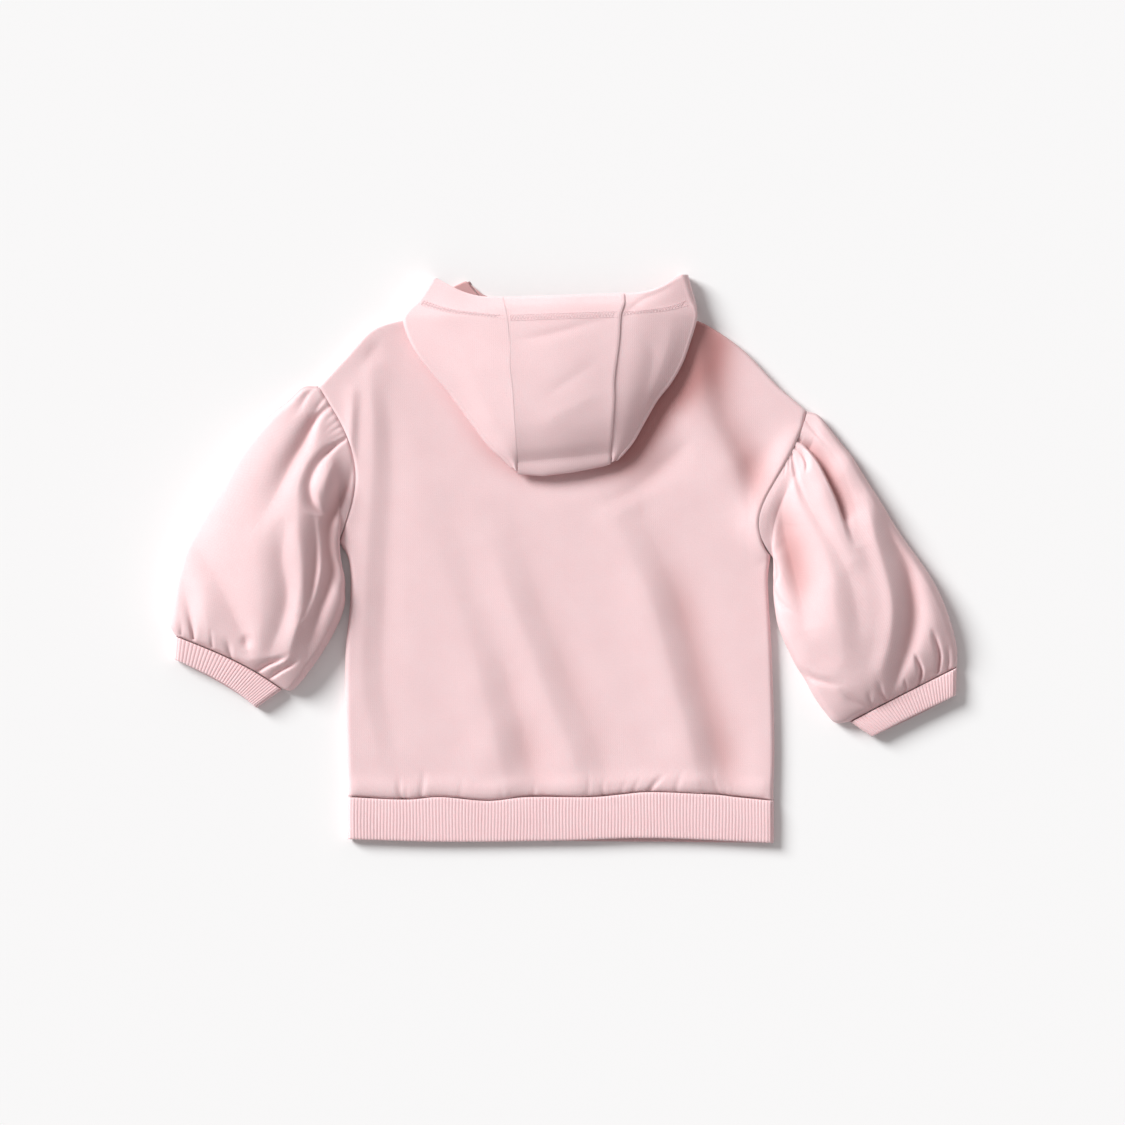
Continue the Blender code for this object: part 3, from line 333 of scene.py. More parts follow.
# x, y, height (less than 0 sinks), reach to the left and to the right of each line
# on the back: soft folds down it, then the gathers over its hem seam
backCreases = [
    [(-168, 131.2, 1.5, 6, 6), (-168.8, 111.2, 2.5, 5, 5), (-169.6, 87.2, 1.9, 5, 5),
     (-170.4, 63.2, 0.8, 5, 5)],
    [(-153.6, 149.6, 0.8, 9, 9), (-152, 111.2, 1.9, 9, 10), (-152, 71.2, 1.5, 10, 11),
     (-155.2, 31.2, 1.5, 11, 13), (-159.2, -32.8, 1.5, 11, 14), (-160.8, -96.8, 1.1, 11, 14),
     (-151.2, -140.8, 0.9, 12, 12), (-143.2, -167.2, 0.4, 12, 12)],
    [(-140, 128.8, -0.6, 12, 8), (-137.6, 103.2, -1.3, 13, 9), (-137.6, 63.2, -1.1, 13, 10),
     (-140, 23.2, -1.1, 14, 11), (-142.4, -32.8, -1.5, 14, 12), (-144, -96.8, -1.1, 14, 12),
     (-135.2, -144.8, -0.6, 12, 11)],
    [(101.6, 95.2, -0.4, 10, 12), (90.4, 85.6, -1.5, 11, 12), (74.4, 71.2, -2.1, 12, 12),
     (55.2, 55.2, -1.5, 12, 12), (29.6, 42.4, -0.6, 12, 12)],
    *softFold([(-58.4, 11.2, 0.8), (-42.4, -32.8, 1.9), (-29.6, -64.8, 2.1), (-18.4, -96.8, 2.3),
               (-6.4, -124.8, 2.1), (5.6, -152.8, 2.1), (11.2, -172.8, 1.5)], 24),
    *softFold([(-110.4, 31.2, 0.5), (-86.4, -32.8, 0.9), (-75.2, -64.8, 1.3), (-66.4, -96.8, 2.1),
               (-59.2, -124.8, 2.3), (-52.8, -152.8, 3.1), (-46.4, -175.2, 2.1)], 24),
    *softFold([(41.6, 31.2, 1.3), (57.6, -4.8, 2.3), (69.6, -32.8, 3.6), (79.2, -64.8, 3.6),
               (87.2, -96.8, 3.6), (95.2, -124.8, 3.8), (102.4, -152.8, 4.1), (107.2, -172.8, 3.1)], 24),
    *softFold([(108, 167.2, 3.1), (112, 139.2, 3.1), (118.4, 111.2, 3.3), (128.8, 89.6, 4.1),
               (137.6, 71.2, 4.9), (143.2, 47.2, 3.1), (144.8, 27.2, 1.3)], 12.8),
    [(-131.2, -176.8, -0.3, 2, 2.6), (-130.4, -184, -1.2, 1.6, 2.4), (-128.8, -192, -1.5, 1.4, 2.2)],
    [(-125.6, -181.6, -0.2, 1.6, 1.6), (-125.6, -191.2, -1.1, 1.4, 1.6)],
    [(-111.2, -170.4, -0.2, 2.5, 2.5), (-112, -180, -0.9, 2, 2.4), (-113.6, -191.2, -1.1, 1.6, 1.8)],
    [(-18.4, -170.4, -0.2, 2.2, 3), (-22.4, -181.6, -1.4, 1.5, 3), (-24, -190.4, -1.7, 1.3, 2.4)],
    [(-13.6, -176.8, -0.2, 1.8, 1.8), (-14.4, -189.6, -1.4, 1.3, 1.8)],
    [(19.2, -164, -0.3, 2.4, 3), (20.8, -176.8, -1, 1.8, 2.6), (20, -188.8, -1, 1.6, 2)],
    [(33.6, -172, -0.2, 2.4, 3), (32, -181.6, -1.5, 1.4, 2.8), (32.8, -189.6, -2, 1.2, 2.2)],
    [(37.6, -178.4, -0.2, 1.6, 1.6), (36.8, -188.8, -1.4, 1.2, 1.6)],
    [(53.6, -171.2, -0.2, 2.6, 2.8), (48.8, -180, -1, 1.8, 2.4), (46.4, -187.2, -1.2, 1.5, 2)],
    [(62.4, -172, -0.2, 2, 2.4), (58.4, -180.8, -1, 1.5, 2.2), (56, -186.4, -1.2, 1.4, 1.8)],
    [(80.8, -172, -0.2, 2.2, 3.2), (74.4, -179.2, -1.4, 1.4, 3), (69.6, -184.8, -1.7, 1.2, 2.4)],
    [(95.2, -168.8, -0.2, 3, 3), (92, -178.4, -0.7, 2.4, 2.6), (90.4, -185.6, -0.8, 2, 2.2)],
    [(122.4, -151.2, -0.3, 3, 4.5), (120, -168.8, -1.4, 2.2, 4.2), (121.6, -179.2, -1.7, 1.6, 3.2),
     (124.8, -188, -1.8, 1.3, 2.4)],
    [(131.2, -176, -0.2, 1.8, 1.8), (129.6, -188, -1.5, 1.3, 1.8)],
    [(143.2, -175.2, -0.2, 2.4, 2.4), (142.4, -188.8, -0.8, 1.8, 2)],
    [(-80.8, -178.4, -0.2, 2.6, 2.6), (-82.4, -190.4, -0.5, 2, 2)],
    [(-50.4, -180, -0.2, 2.4, 2.4), (-48.8, -190.4, -0.6, 2, 2)],
    [(0, -179.2, -0.2, 2.4, 2.4), (-0.8, -188.8, -0.6, 1.8, 1.8)],
    [(167.2, -135.2, -0.2, 1.4, 1.4), (165.6, -154.4, -1, 1.1, 1.3), (163.2, -175.2, -1.2, 1.1, 1.3),
     (161.6, -190.4, -1.2, 1.1, 1.3)],
    [(-146.4, 175.2, -0.4, 8, 8), (-152.8, 165.6, -1.5, 8, 8), (-160.8, 154.4, -0.6, 8, 8)],
]

# the right armhole's seam stands up and the sleeve drops away from it
armholeRoll = [
    [(191.2, 108, 0.6, 10, 6), (183.2, 95.2, 2.2, 15, 8), (174.4, 76, 4.4, 17, 10),
     (168, 60.8, 5.6, 17, 12), (160.8, 45.6, 6.6, 16, 13), (156, 32, 7, 14, 13),
     (156.8, 20, 6.6, 12, 12), (161.6, 8.8, 5, 10, 11), (166.4, 1.6, 2.6, 8, 10)],
]

# painted shadow: along the hood's fold, where the hood shades the back, these lines only turn the back's
# colour towards salmon; they don't change its shape
hoodPaintedShadow = [
    [(107.2, 207.2, -7, 20, 8), (104.8, 185.6, -12, 28, 8), (98.4, 165.6, -14, 28, 8),
     (90.4, 143.2, -14, 24, 8), (75.2, 126.4, -15, 20, 8), (65.6, 108.8, -15, 18, 8),
     (52.8, 85.6, -12, 16, 8), (39.2, 74.4, -8, 14, 8), (8, 68, -5, 12, 8), (-16, 65.6, -4.5, 12, 8),
     (-40.8, 72, -4.5, 12, 8), (-58.4, 86.4, -5, 14, 8), (-75.2, 108, -4, 14, 8),
     (-92.8, 133.6, -3, 12, 8), (-110.4, 155.2, -2, 12, 8)],
]


def alongHem(x, line):  # y of the hem seam or the hem's edge over x, a smooth line through points
    fine = smoothAt(line, np.linspace(0, len(line) - 1, 12 * len(line)))
    return np.interp(x, fine[:, 0], fine[:, 1])


def propped(x, y, height):  # cloth held up round the slider: a raised cosine of the distance to it
    share = np.clip(np.hypot(x - body["zipX"], y - body["propY"]) / body["propReach"], 0, 1)
    return height * (0.5 + 0.5 * np.cos(math.pi * share))


def armholeLine(side, share):  # a straight line from tip to underarm, bowed by a sine
    tipX, tipY, underX, underY, bow, lean = body["armholes"][side]
    return tipX + (underX - tipX) * share + bow * halfWave(share ** lean), tipY + (underY - tipY) * share


def bodyRows():
    # one row a line: left x, left y, right x, right y, y at the zip, neck angle, rounded-over share
    lower = smoothAt(body["lowerRows"], evenPlaces(body["lowerRows"], body["lowerSteps"]))
    lower = np.column_stack([lower, np.zeros(len(lower)), np.ones(len(lower))])
    last = len(body["armholeRows"]) - 1
    share, zipY = smoothAt(body["armholeRows"], np.linspace(0, last, body["armholeSteps"]))[1:].T
    rolled = smoothStep(np.maximum(share - 1, -share) / body["rolledShare"] + 1)
    hole = np.column_stack([*armholeLine("left", share), *armholeLine("right", share), zipY,
                            np.zeros(len(share)), rolled])
    upper = smoothAt(body["shoulderRows"], evenPlaces(body["shoulderRows"], body["shoulderSteps"]))[1:]
    upper = np.column_stack([upper[:, :4], np.full(len(upper), body["zipTop"]), upper[:, 4],
                             np.ones(len(upper))])
    return np.vstack([lower, hole, upper])


rows = bodyRows()
neckPoint = {"left": rows[-1, 0:2], "right": rows[-1, 2:4]}


def clothTop(x, y):
    # height of the back's outer side away from its edges, and how deep its folds are; it lies
    # closer to the surface under the hood, and a root keeps its folds clear of the fronts
    ridge, hollow = creaseHeight(x, y, backCreases)
    middleX, middleY, reachX, reachY = body["underHood"]
    free = smoothStep((np.hypot((x - middleX) / reachX, (y - middleY) / reachY) - 0.9) / 0.3)
    relief = ridge - hollow + handUneven(x, y)
    height = body["top"] + body["loft"] * free + (0.35 + 0.65 * free) * relief
    least = body["least"] + 1.2 * bell(x - body["zipX"], 16)
    over = height - least
    return least + 0.5 * (over + np.sqrt(over ** 2 + 1.2)) + propped(x, y, body["backProp"]), hollow


def makeBack():
    # across each row the cloth rounds up over its folded edge along a quarter circle, then lies
    # level with folds; rows near the hem follow its seam, rows near the neck dip to the neckline
    leftX, leftY, rightX, rightY, _, _, rolled = (rows[:, k:k + 1] for k in range(7))
    reach = np.hypot(rightX - leftX, rightY - leftY)
    edge = rollSteps(body["roll"], 8)
    middle = np.linspace(0, 1, body["acrossSteps"])[1:-1]
    along = np.concatenate([np.tile(edge, (len(rows), 1)), edge[-1] + middle * (reach - 2 * edge[-1]),
                            reach - edge[::-1]], axis=1)
    share = along / reach
    x = leftX + (rightX - leftX) * share
    y = leftY + (rightY - leftY) * share
    straight = leftY[0] + (rightY[0] - leftY[0]) * share
    follow = np.clip(1 - (leftY - leftY[0]) / body["hemFollow"], 0, 1)
    y = y + (alongHem(x, body["hemSeam"]) + body["hemGap"] - straight) * follow
    dip = np.clip((leftY - body["neckDipFrom"]) / (leftY[-1] - body["neckDipFrom"]), 0, 1) ** 2
    y = y - body["neckDip"] * dip * halfWave(share)
    near = np.minimum(along, reach - along)
    height, hollow = clothTop(x, y)
    height = height + np.maximum(body["edgeTop"] - height, 0) * bell(near, body["puff"])
    overSeam = y - alongHem(x, body["hemSeam"])          # it blouses over the band and dips to its seam
    blouse = 1.1 * bell(overSeam - 9, 7) - 1.7 * bell(overSeam, 2.2)
    height = height + blouse * np.clip(near / 8, 0, 1)
    height = height + creaseHeight(x, y, armholeRoll)[0] - (1 - rolled) * bell(near, 1.2)
    rise = 1 - rolled * (1 - quarterRound(near, body["roll"]))
    z = body["backSeamZ"] + (height - body["backSeamZ"]) * rise
    # painted shade in the back's fold hollows, and painted shadow beside the hood
    deep = 1.6 * hollow + creaseHeight(x, y, hoodPaintedShadow)[1]
    return stacked(x, y, z), stacked(x, y), deep


back = makeCloth("backPanel", [makeBack()], body["thickness"])
dress(back, sweatshirtKnit, "back_panel")
print("back made,", len(back.data.polygons), "faces")


def neckCurve(side, angle):  # front neckline: an ellipse's quarter from the zip to the neck point
    farX, farY = neckPoint[side]
    turn = np.radians(angle)
    reach = abs(farX - body["zipX"]) - body["frontEdge"]
    return (body["zipX"] + wayOut[side] * (body["frontEdge"] + reach * np.sin(turn)),
            farY - (farY - body["zipTop"]) * np.cos(turn))


# no photo shows these: the soft folds a front would have
frontCreases = {
    "left": [[(-30, 96, 0.2, 6, 6), (-64, 60, 0.7, 9, 8), (-92, 10, 0.8, 10, 9), (-104, -50, 0.3, 9, 8)],
             [(-166, 70, 0.3, 6, 6), (-150, 40, 0.8, 8, 7), (-146, -10, 0.7, 9, 8), (-150, -60, 0.2, 8, 7)],
             [(-60, -176, 0.7, 2.4, 3.2), (-58, -150, 0.5, 4, 5), (-66, -110, 0.2, 7, 7)],
             [(-128, -182, 0.7, 2.2, 2.8), (-126, -160, 0.3, 4, 4)]],
    "right": [[(26, 102, 0.2, 6, 6), (70, 70, 0.7, 9, 8), (104, 20, 0.7, 10, 9), (112, -44, 0.2, 9, 8)],
              [(158, 62, 0.3, 6, 6), (140, 26, 0.8, 8, 7), (138, -20, 0.6, 9, 8)],
              [(48, -178, 0.7, 2.4, 3.2), (52, -150, 0.4, 4, 5), (46, -120, 0.2, 6, 6)],
              [(120, -182, 0.6, 2.2, 2.8), (117, -158, 0.3, 4, 4)]],
}


def makeFront(side):
    # each row runs from the side fold, down a quarter circle to the surface, in to the zip
    first = 0 if side == "left" else 2
    edgeX, edgeY, zipY = rows[:, first:first + 1], rows[:, first + 1:first + 2], rows[:, 4:5]
    angle, rolled = rows[:, 5:6], rows[:, 6:7]
    neckX, neckY = neckCurve(side, angle)
    innerX = np.where(angle > 0, neckX, body["zipX"] + wayOut[side] * body["frontEdge"])
    innerY = np.where(angle > 0, neckY, zipY)
    reach = np.hypot(innerX - edgeX, innerY - edgeY)
    roll = np.minimum(body["roll"], 0.4 * reach)
    middle = np.linspace(0, 1, body["frontSteps"])[1:]
    along = np.concatenate([rollSteps(roll, 6), roll + middle * (reach - roll)], axis=1)
    x = edgeX + (innerX - edgeX) * along / reach
    y = edgeY + (innerY - edgeY) * along / reach
    y = y + (np.interp(x, *body["frontHem"]) + 0.2 - y) * np.clip(1 - (zipY + 191) / 8, 0, 1)
    ridge, hollow = creaseHeight(x, y, frontCreases[side])
    lift = propped(x, y, body["frontProp"]) + 1.6 * ridge
    z = body["frontSeamZ"] * rolled * (1 - quarterRound(along, roll)) + lift
    # painted shade: half the depth of the front's folds goes to the hollow attribute
    return stacked(x, y, z)[::2], stacked(x, y)[::2], (0.5 * hollow)[::2]   # every other row is enough


for side, area in (("left", 0.062), ("right", 0.065)):
    front = makeCloth("front" + side.capitalize(), [makeFront(side)], body["thickness"],
                      turned=(side == "left"))
    dress(front, sweatshirtKnit, "front_" + side)
print("fronts made")

# soft folds where the sleeve's underside lifts off the surface it lies on
underFolds = {
    "left": [[(-230, 100, 0.4, 8, 8), (-245, 70, 1.6, 9, 9), (-255, 40, 1.8, 10, 10),
              (-262, 10, 1.2, 10, 10), (-266, -20, 0.4, 8, 8)],
             [(-205, 60, 0.5, 8, 8), (-212, 20, 1.5, 9, 9), (-222, -20, 1.6, 9, 9), (-232, -55, 0.6, 8, 8)],
             [(-285, 0, 0.4, 8, 8), (-283, -30, 1.4, 9, 8), (-276, -58, 1.2, 7, 7), (-270, -72, 0.5, 5, 5)]],
    "right": [[(214, 82, 0.4, 8, 8), (226, 50, 1.6, 9, 9), (236, 18, 1.8, 10, 10),
               (247, -15, 1.2, 10, 10), (258, -48, 0.4, 8, 8)],
              [(186, 40, 0.5, 8, 8), (194, 2, 1.5, 9, 9), (206, -36, 1.6, 9, 9), (220, -72, 0.6, 8, 8)],
              [(268, -20, 0.4, 8, 8), (276, -52, 1.4, 9, 8), (280, -80, 1.2, 7, 7), (280, -95, 0.5, 5, 5)]],
}

sleeves = {
    # outer x, outer y, inner x, inner y, bow, height, edge radius: rings from armhole to cuff
    "left": [(-196.3, 138.2, -179.5, 13.6, 21.1, 8, 4), (-208, 137, -181, 7, 16.5, 12, 4),
             (-220, 126, -178, 1, 13, 19, 4.4), (-234, 115, -176, -7, 10, 25, 4.8),
             (-248, 100, -174, -16, 8, 29, 5), (-262, 82, -174, -26, 6.5, 32, 5.4),
             (-275, 60, -174, -35, 5.5, 34, 5.8), (-287, 42, -177, -46, 5, 35, 6),
             (-297, 24, -182, -57, 4.5, 35, 6), (-305, 7, -188, -68, 4, 34, 6),
             (-310, -12, -195, -79, 4, 32, 6), (-313, -29, -203, -90, 4.5, 29, 6),
             (-314, -42, -210, -99, 5.5, 25, 5.6), (-314, -53, -217, -105, 6.5, 18, 4.8),
             (-310, -61, -224, -104, 7.8, 10, 4.2)],
    "right": [(195.3, 118.2, 166.5, 2.7, -17.6, 8, 4), (204, 115, 169, -2, -13, 12, 4),
              (212, 106, 168, -10, -10, 19, 4.4), (223, 92, 168, -18, -8, 25, 4.8),
              (232, 81, 168, -28, -6.5, 29, 5), (243, 63, 169, -38, -5.5, 32, 5.4),
              (254, 46, 171, -50, -5, 34, 5.8), (264, 29, 175, -62, -4.5, 35, 6),
              (274, 14, 180, -73, -4, 35, 6), (285, -1, 186, -85, -3.5, 34, 6),
              (295, -16, 193, -96, -3, 32, 6), (304, -34, 200, -109, -2.5, 29, 6),
              (311, -54, 209, -122, -2, 25, 5.6), (315, -72, 218, -131, -1.5, 18, 4.8),
              (315, -86, 229, -130, -1, 10, 4.2)],
    "rings": 214, "topSteps": 138, "underSteps": 34, "grainColumn": 60,
    "thickness": 2.0, "foldDepth": 1.25, "least": 4.8,
    "seamReach": {"left": 1.2, "right": 9.0},        # how far the cap sinks to its seam
    "seamLift": 2.2,                                 # the seam lies on the front's edge
}

# the left sleeve's gathers at the cap, its long folds and swells, and the gathers at the cuff
leftCreases = [
    [(-196.8, 138.4, -2, 1.2, 2.4), (-203.2, 132, -3, 1.2, 3), (-208, 124.8, -1.6, 2, 4),
     (-213.6, 116, -0.4, 3, 5)],
    [(-190.4, 128.8, -2.4, 1.2, 2.4), (-194.4, 123.2, -3.2, 1.2, 3), (-198.4, 116, -1.8, 1.8, 4),
     (-204, 108, -0.4, 3, 4)],
    [(-185.6, 122.4, -3, 1.4, 2.6), (-192.8, 116.8, -4.6, 1.8, 3.4), (-200, 108, -5.4, 3, 5.5),
     (-207.2, 93.6, -5.6, 5.5, 8), (-216, 78.4, -5, 7, 9), (-223.2, 64, -3.8, 8, 10),
     (-230.4, 49.6, -2.2, 9, 11), (-240.8, 31.2, -0.6, 10, 12)],
    [(-181.6, 116.8, -1.5, 1, 1.3), (-185.6, 113.6, -1, 1, 1.5), (-189.6, 109.6, -0.2, 1.5, 2)],
    [(-179.2, 111.2, -1.1, 0.9, 1.1), (-183.2, 108, -0.9, 1, 1.3), (-188.8, 103.2, -0.2, 1.4, 2)],
    [(-177.6, 105.6, -1.4, 0.9, 1.1), (-181.6, 103.2, -1, 1, 1.2), (-185.6, 100, -0.2, 1.3, 1.8)],
    [(-176, 100, -1, 0.9, 1.2), (-180, 97.6, -0.7, 1, 1.3), (-185.6, 94.4, -0.2, 1.4, 2)],
    [(-174.4, 95.2, -3.4, 1.2, 2.2), (-182.4, 89.6, -4, 1.6, 2.6), (-191.2, 81.6, -3.4, 3, 4),
     (-198.4, 71.2, -3.2, 4, 5), (-202.4, 58.4, -3.4, 4.5, 5), (-200, 44.8, -3.6, 4.5, 5),
     (-192.8, 37.6, -3.4, 4, 5), (-185.6, 37.6, -1.6, 4, 5)],
    [(-180.8, 80.8, 0.6, 5, 6), (-186.4, 69.6, 2.2, 7, 7), (-189.6, 58.4, 2.4, 8, 7),
     (-187.2, 48.8, 0.8, 6, 6)],
    [(-168.8, 71.2, -2.2, 3, 6), (-172.8, 56.8, -5.2, 3, 8), (-180, 42.4, -6.4, 5, 9),
     (-186.4, 26.4, -6.4, 7, 9), (-186.4, 8.8, -6, 8, 8), (-184, -8.8, -6, 7, 8),
     (-187.2, -23.2, -5.4, 6, 8), (-194.4, -42.4, -4.2, 6, 7), (-200, -61.6, -2.4, 6, 7),
     (-204, -77.6, -0.8, 6, 6)],
    [(-197.6, 31.2, -2.2, 5, 6), (-196.8, 11.2, -4, 5, 6), (-197.6, -8.8, -4.4, 4, 6),
     (-200.8, -28, -3.6, 4, 6), (-206.4, -45.6, -1.6, 4, 6)],
    [(-210.4, 47.2, 0.8, 8, 9), (-211.2, 22.4, 2.2, 9, 10), (-207.2, -8.8, 1.6, 8, 9),
     (-206.4, -35.2, 2.6, 6, 8), (-212.8, -56, 3, 6, 8), (-219.2, -76.8, 1.6, 6, 8)],
    [(-221.6, 24.8, -0.8, 8, 9), (-224, -0.8, -2.2, 9, 9), (-220, -26.4, -2.4, 8, 9),
     (-223.2, -48.8, -1.6, 8, 8), (-232.8, -71.2, -0.6, 7, 7)],
    [(-296, 18.4, -0.8, 10, 10), (-284, -2.4, -2, 12, 11), (-269.6, -29.6, -2.6, 12, 11),
     (-258.4, -53.6, -2.8, 10, 9), (-252, -66.4, -1.6, 7, 7)],
    [(-244, 15.2, 0.5, 16, 16), (-240.8, -16.8, 1, 16, 16), (-240.8, -48.8, 1, 14, 14),
     (-244, -72.8, 0.5, 10, 10)],
    [(-304.8, -0.8, -0.4, 8, 8), (-301.6, -24.8, -1.4, 8, 7), (-298.4, -42.4, -2.4, 5, 4),
     (-296, -55.2, -3.2, 2.6, 2.2), (-295.2, -63.2, -3, 1.6, 1.4)],
    [(-268, -64.8, -0.6, 4, 4), (-266.4, -72.8, -1.8, 2.4, 2.4), (-264.8, -80.8, -2.2, 1.4, 1.6)],
    [(-253.6, -58.4, -1, 6, 6), (-252.8, -65.6, -3, 5, 5), (-251.2, -72.8, -1, 4, 4)],
    [(-221.6, -78.4, -0.8, 2, 3), (-228.8, -82, -3, 1.3, 3), (-236, -84.8, -3.6, 1.3, 3.2),
     (-243.2, -89.6, -3.2, 1.4, 3), (-246.4, -92.8, -2, 1.4, 2.2)],
    [(-212, -81.6, -0.6, 2, 3), (-218.4, -85.6, -2.8, 1.3, 2.8), (-225.6, -89.6, -3.2, 1.3, 2.8),
     (-232.8, -94.4, -2.6, 1.3, 2.4), (-236, -96.8, -1.6, 1.3, 2)],
    [(-280.8, -56.8, -0.3, 2, 2), (-280, -69.6, -1.4, 1.3, 1.5)],
    [(-304.8, -50.4, -0.3, 1.8, 1.8), (-304.8, -60, -1.2, 1.2, 1.4)],
    [(-240.8, -77.6, 0.4, 5, 5), (-250.4, -80.8, 1, 5, 5), (-258.4, -77.6, 0.5, 5, 5)],
    [(-264.8, 64.8, 0.3, 18, 18), (-272.8, 31.2, 0.6, 20, 18), (-279.2, -0.8, 0.6, 18, 14)],
    [(-286.4, -24.8, 0.8, 10, 10), (-284.8, -44.8, 1.6, 9, 9), (-280.8, -60, 0.8, 7, 7)],
]

# the right sleeve's, in the same order, with one long pleat out of the cap
rightCreases = [
    [(192.8, 112, -2.6, 1.6, 1.2), (200, 102.4, -2.8, 2, 1.8), (212.8, 88, -2, 2.4, 3.5),
     (222.4, 71.2, -1.8, 2.6, 5), (228.8, 53.6, -2.4, 2.6, 6), (232.8, 40.8, -2.4, 2.4, 5),
     (234.4, 32.8, -1, 2.4, 4)],
    [(187.2, 94.4, -4.6, 5, 0.9), (194.4, 89.6, -6.8, 8, 0.9), (203.7, 78.4, -8.4, 11, 0.9),
     (211.2, 64, -9.4, 12, 0.9), (218.4, 48, -9, 13, 1), (223.2, 34.4, -7.2, 13, 1.4),
     (227.2, 25.6, -3.4, 13, 2.4), (234.4, 8.8, -0.6, 12, 6)],
    [(184.8, 88.8, -3, 1.8, 1), (190.4, 84, -3.4, 2.2, 1.1), (194, 76.8, -2.8, 2.6, 1.4),
     (193.6, 68, -0.8, 3, 2)],
    [(182.9, 83.2, -3.4, 1.4, 1.2), (185.2, 70.4, -3.6, 2.4, 2.6), (189.6, 56, -3.2, 4, 5),
     (200, 34.4, -2.8, 7, 8), (215.2, 10.4, -2.6, 10, 10), (227.2, -12.8, -2.4, 11, 11),
     (234.4, -42.4, -1.9, 12, 11), (237.6, -64.8, -0.5, 11, 11)],
    [(180.8, 80, -1.8, 1, 1), (180.8, 72.8, -1.6, 1.2, 1.4), (181.6, 64.8, -0.4, 2, 2)],
    [(177.6, 74.4, -1.4, 0.9, 1), (176.8, 68, -1.2, 1.2, 1.2), (176.8, 60.8, -0.3, 2, 2)],
    [(181.6, 64.8, -2, 5, 7), (175.2, 42.4, -5, 14, 9), (176.8, 23.2, -7.5, 18, 10),
     (181.6, 2.4, -9, 19, 11), (186.4, -18.4, -8, 18, 12), (190.4, -37.6, -4.5, 15, 11),
     (193.6, -56.8, -1.4, 12, 10)],
    [(166.4, 2.4, -1.6, 2, 2), (170.4, -4.8, -3.4, 2, 2.2), (171.2, -13.6, -3.6, 2, 2.4),
     (168.8, -23.2, -3.6, 2, 2.6), (174.4, -34.4, -3.4, 2.4, 3.2), (184.8, -42.4, -2, 3, 4),
     (194.4, -46.4, -0.5, 4, 5)],
    [(253.6, 53.6, -1, 5, 6), (256.8, 37.6, -3, 6, 7), (264, 15.2, -4.6, 7, 8),
     (273.6, -5.6, -5.4, 8, 9), (278.4, -28, -5.8, 8, 9), (279.2, -47.2, -5.8, 8, 9),
     (275.2, -69.6, -5, 7, 9), (268, -89.6, -3.4, 5, 7), (264, -103.2, -1.4, 4, 5)],
    [(242.4, 47.2, 0.8, 7, 6), (247.2, 23.2, 2.2, 8, 7), (255.2, -4.8, 2.6, 8, 7),
     (261.6, -32.8, 2.6, 9, 7), (260.8, -60.8, 2, 9, 7), (253.6, -87.2, 1, 8, 7)],
    [(278.4, -72.8, -0.6, 3, 3), (283.2, -81.6, -3, 1.6, 2.4), (286.1, -90.4, -3.8, 1.2, 2.2),
     (284, -101.6, -3.4, 1.2, 1.8)],
    [(294.4, -56.8, -0.6, 3, 3), (298.4, -67.2, -3, 1.6, 2.4), (300.8, -77.6, -3.8, 1.2, 2.2),
     (299.7, -90.4, -3.4, 1.2, 1.8)],
    [(252, -100, -0.6, 2.4, 2.6), (254.4, -107.2, -2, 1.5, 2.2), (259, -114.4, -2.4, 1.3, 1.8)],
    [(244, -108, -0.5, 2.4, 2.4), (245.6, -114.4, -1.4, 1.5, 2), (248, -120, -1.8, 1.3, 1.6)],
    [(272, -93.6, -0.5, 2, 2), (273.6, -101.6, -1.6, 1.4, 1.6), (273.6, -108, -1.8, 1.2, 1.4)],
    [(307.2, -71.2, -0.5, 2, 2), (308, -80.8, -1.6, 1.3, 1.5), (308, -88.8, -1.8, 1.2, 1.3)],
    [(187.2, -89.6, -1.8, 3, 2.4), (199.8, -95.6, -2.4, 3.5, 2.4), (208.8, -98.4, -1.8, 4, 3),
     (220, -100.8, -0.5, 5, 4)],
    [(223.2, -106.4, -0.6, 5, 4), (231.2, -112.8, -1.8, 5, 4), (242.4, -117.6, -1.6, 4, 3.4),
     (252, -117.6, -0.5, 4, 3)],
    [(208.8, 74.4, -1, 8, 8), (220.8, 57.6, -3.4, 11, 10), (230.4, 41.6, -3.6, 12, 11),
     (236, 24.8, -1.2, 11, 9)],
    [(185.6, 82.4, -0.5, 5, 5), (192, 63.2, -1.8, 8, 8), (201.6, 39.2, -2.2, 11, 11),
     (212, 16.8, -0.8, 10, 10)],
    [(212, -24.8, 0.8, 14, 14), (220, -52.8, 1.6, 15, 14), (223.2, -80.8, 1, 13, 12)],
    [(204, 47.2, 0.6, 8, 7), (216.8, 23.2, 1.6, 10, 9), (229.6, -0.8, 1.4, 10, 10)],
    [(290.4, -24.8, 0.8, 9, 9), (296.8, -48.8, 1.4, 9, 8), (298.4, -68.8, 0.6, 7, 7)],
    [(189.6, -56.8, -0.6, 10, 10), (204, -74.4, -1.4, 11, 10), (220, -87.2, -0.5, 10, 10)],
]

sleeveCreases = {"left": leftCreases, "right": rightCreases}


def sleeveAcross(reach, steps, edge):  # distances across a ring, close together where it rounds over
    rounding = rollSteps(edge, 8)
    middle = edge + np.linspace(0, 1, steps + 1)[1:-1] * (reach - 2 * edge)
    return np.concatenate([rounding, middle, reach - rounding[:, ::-1]], axis=1)


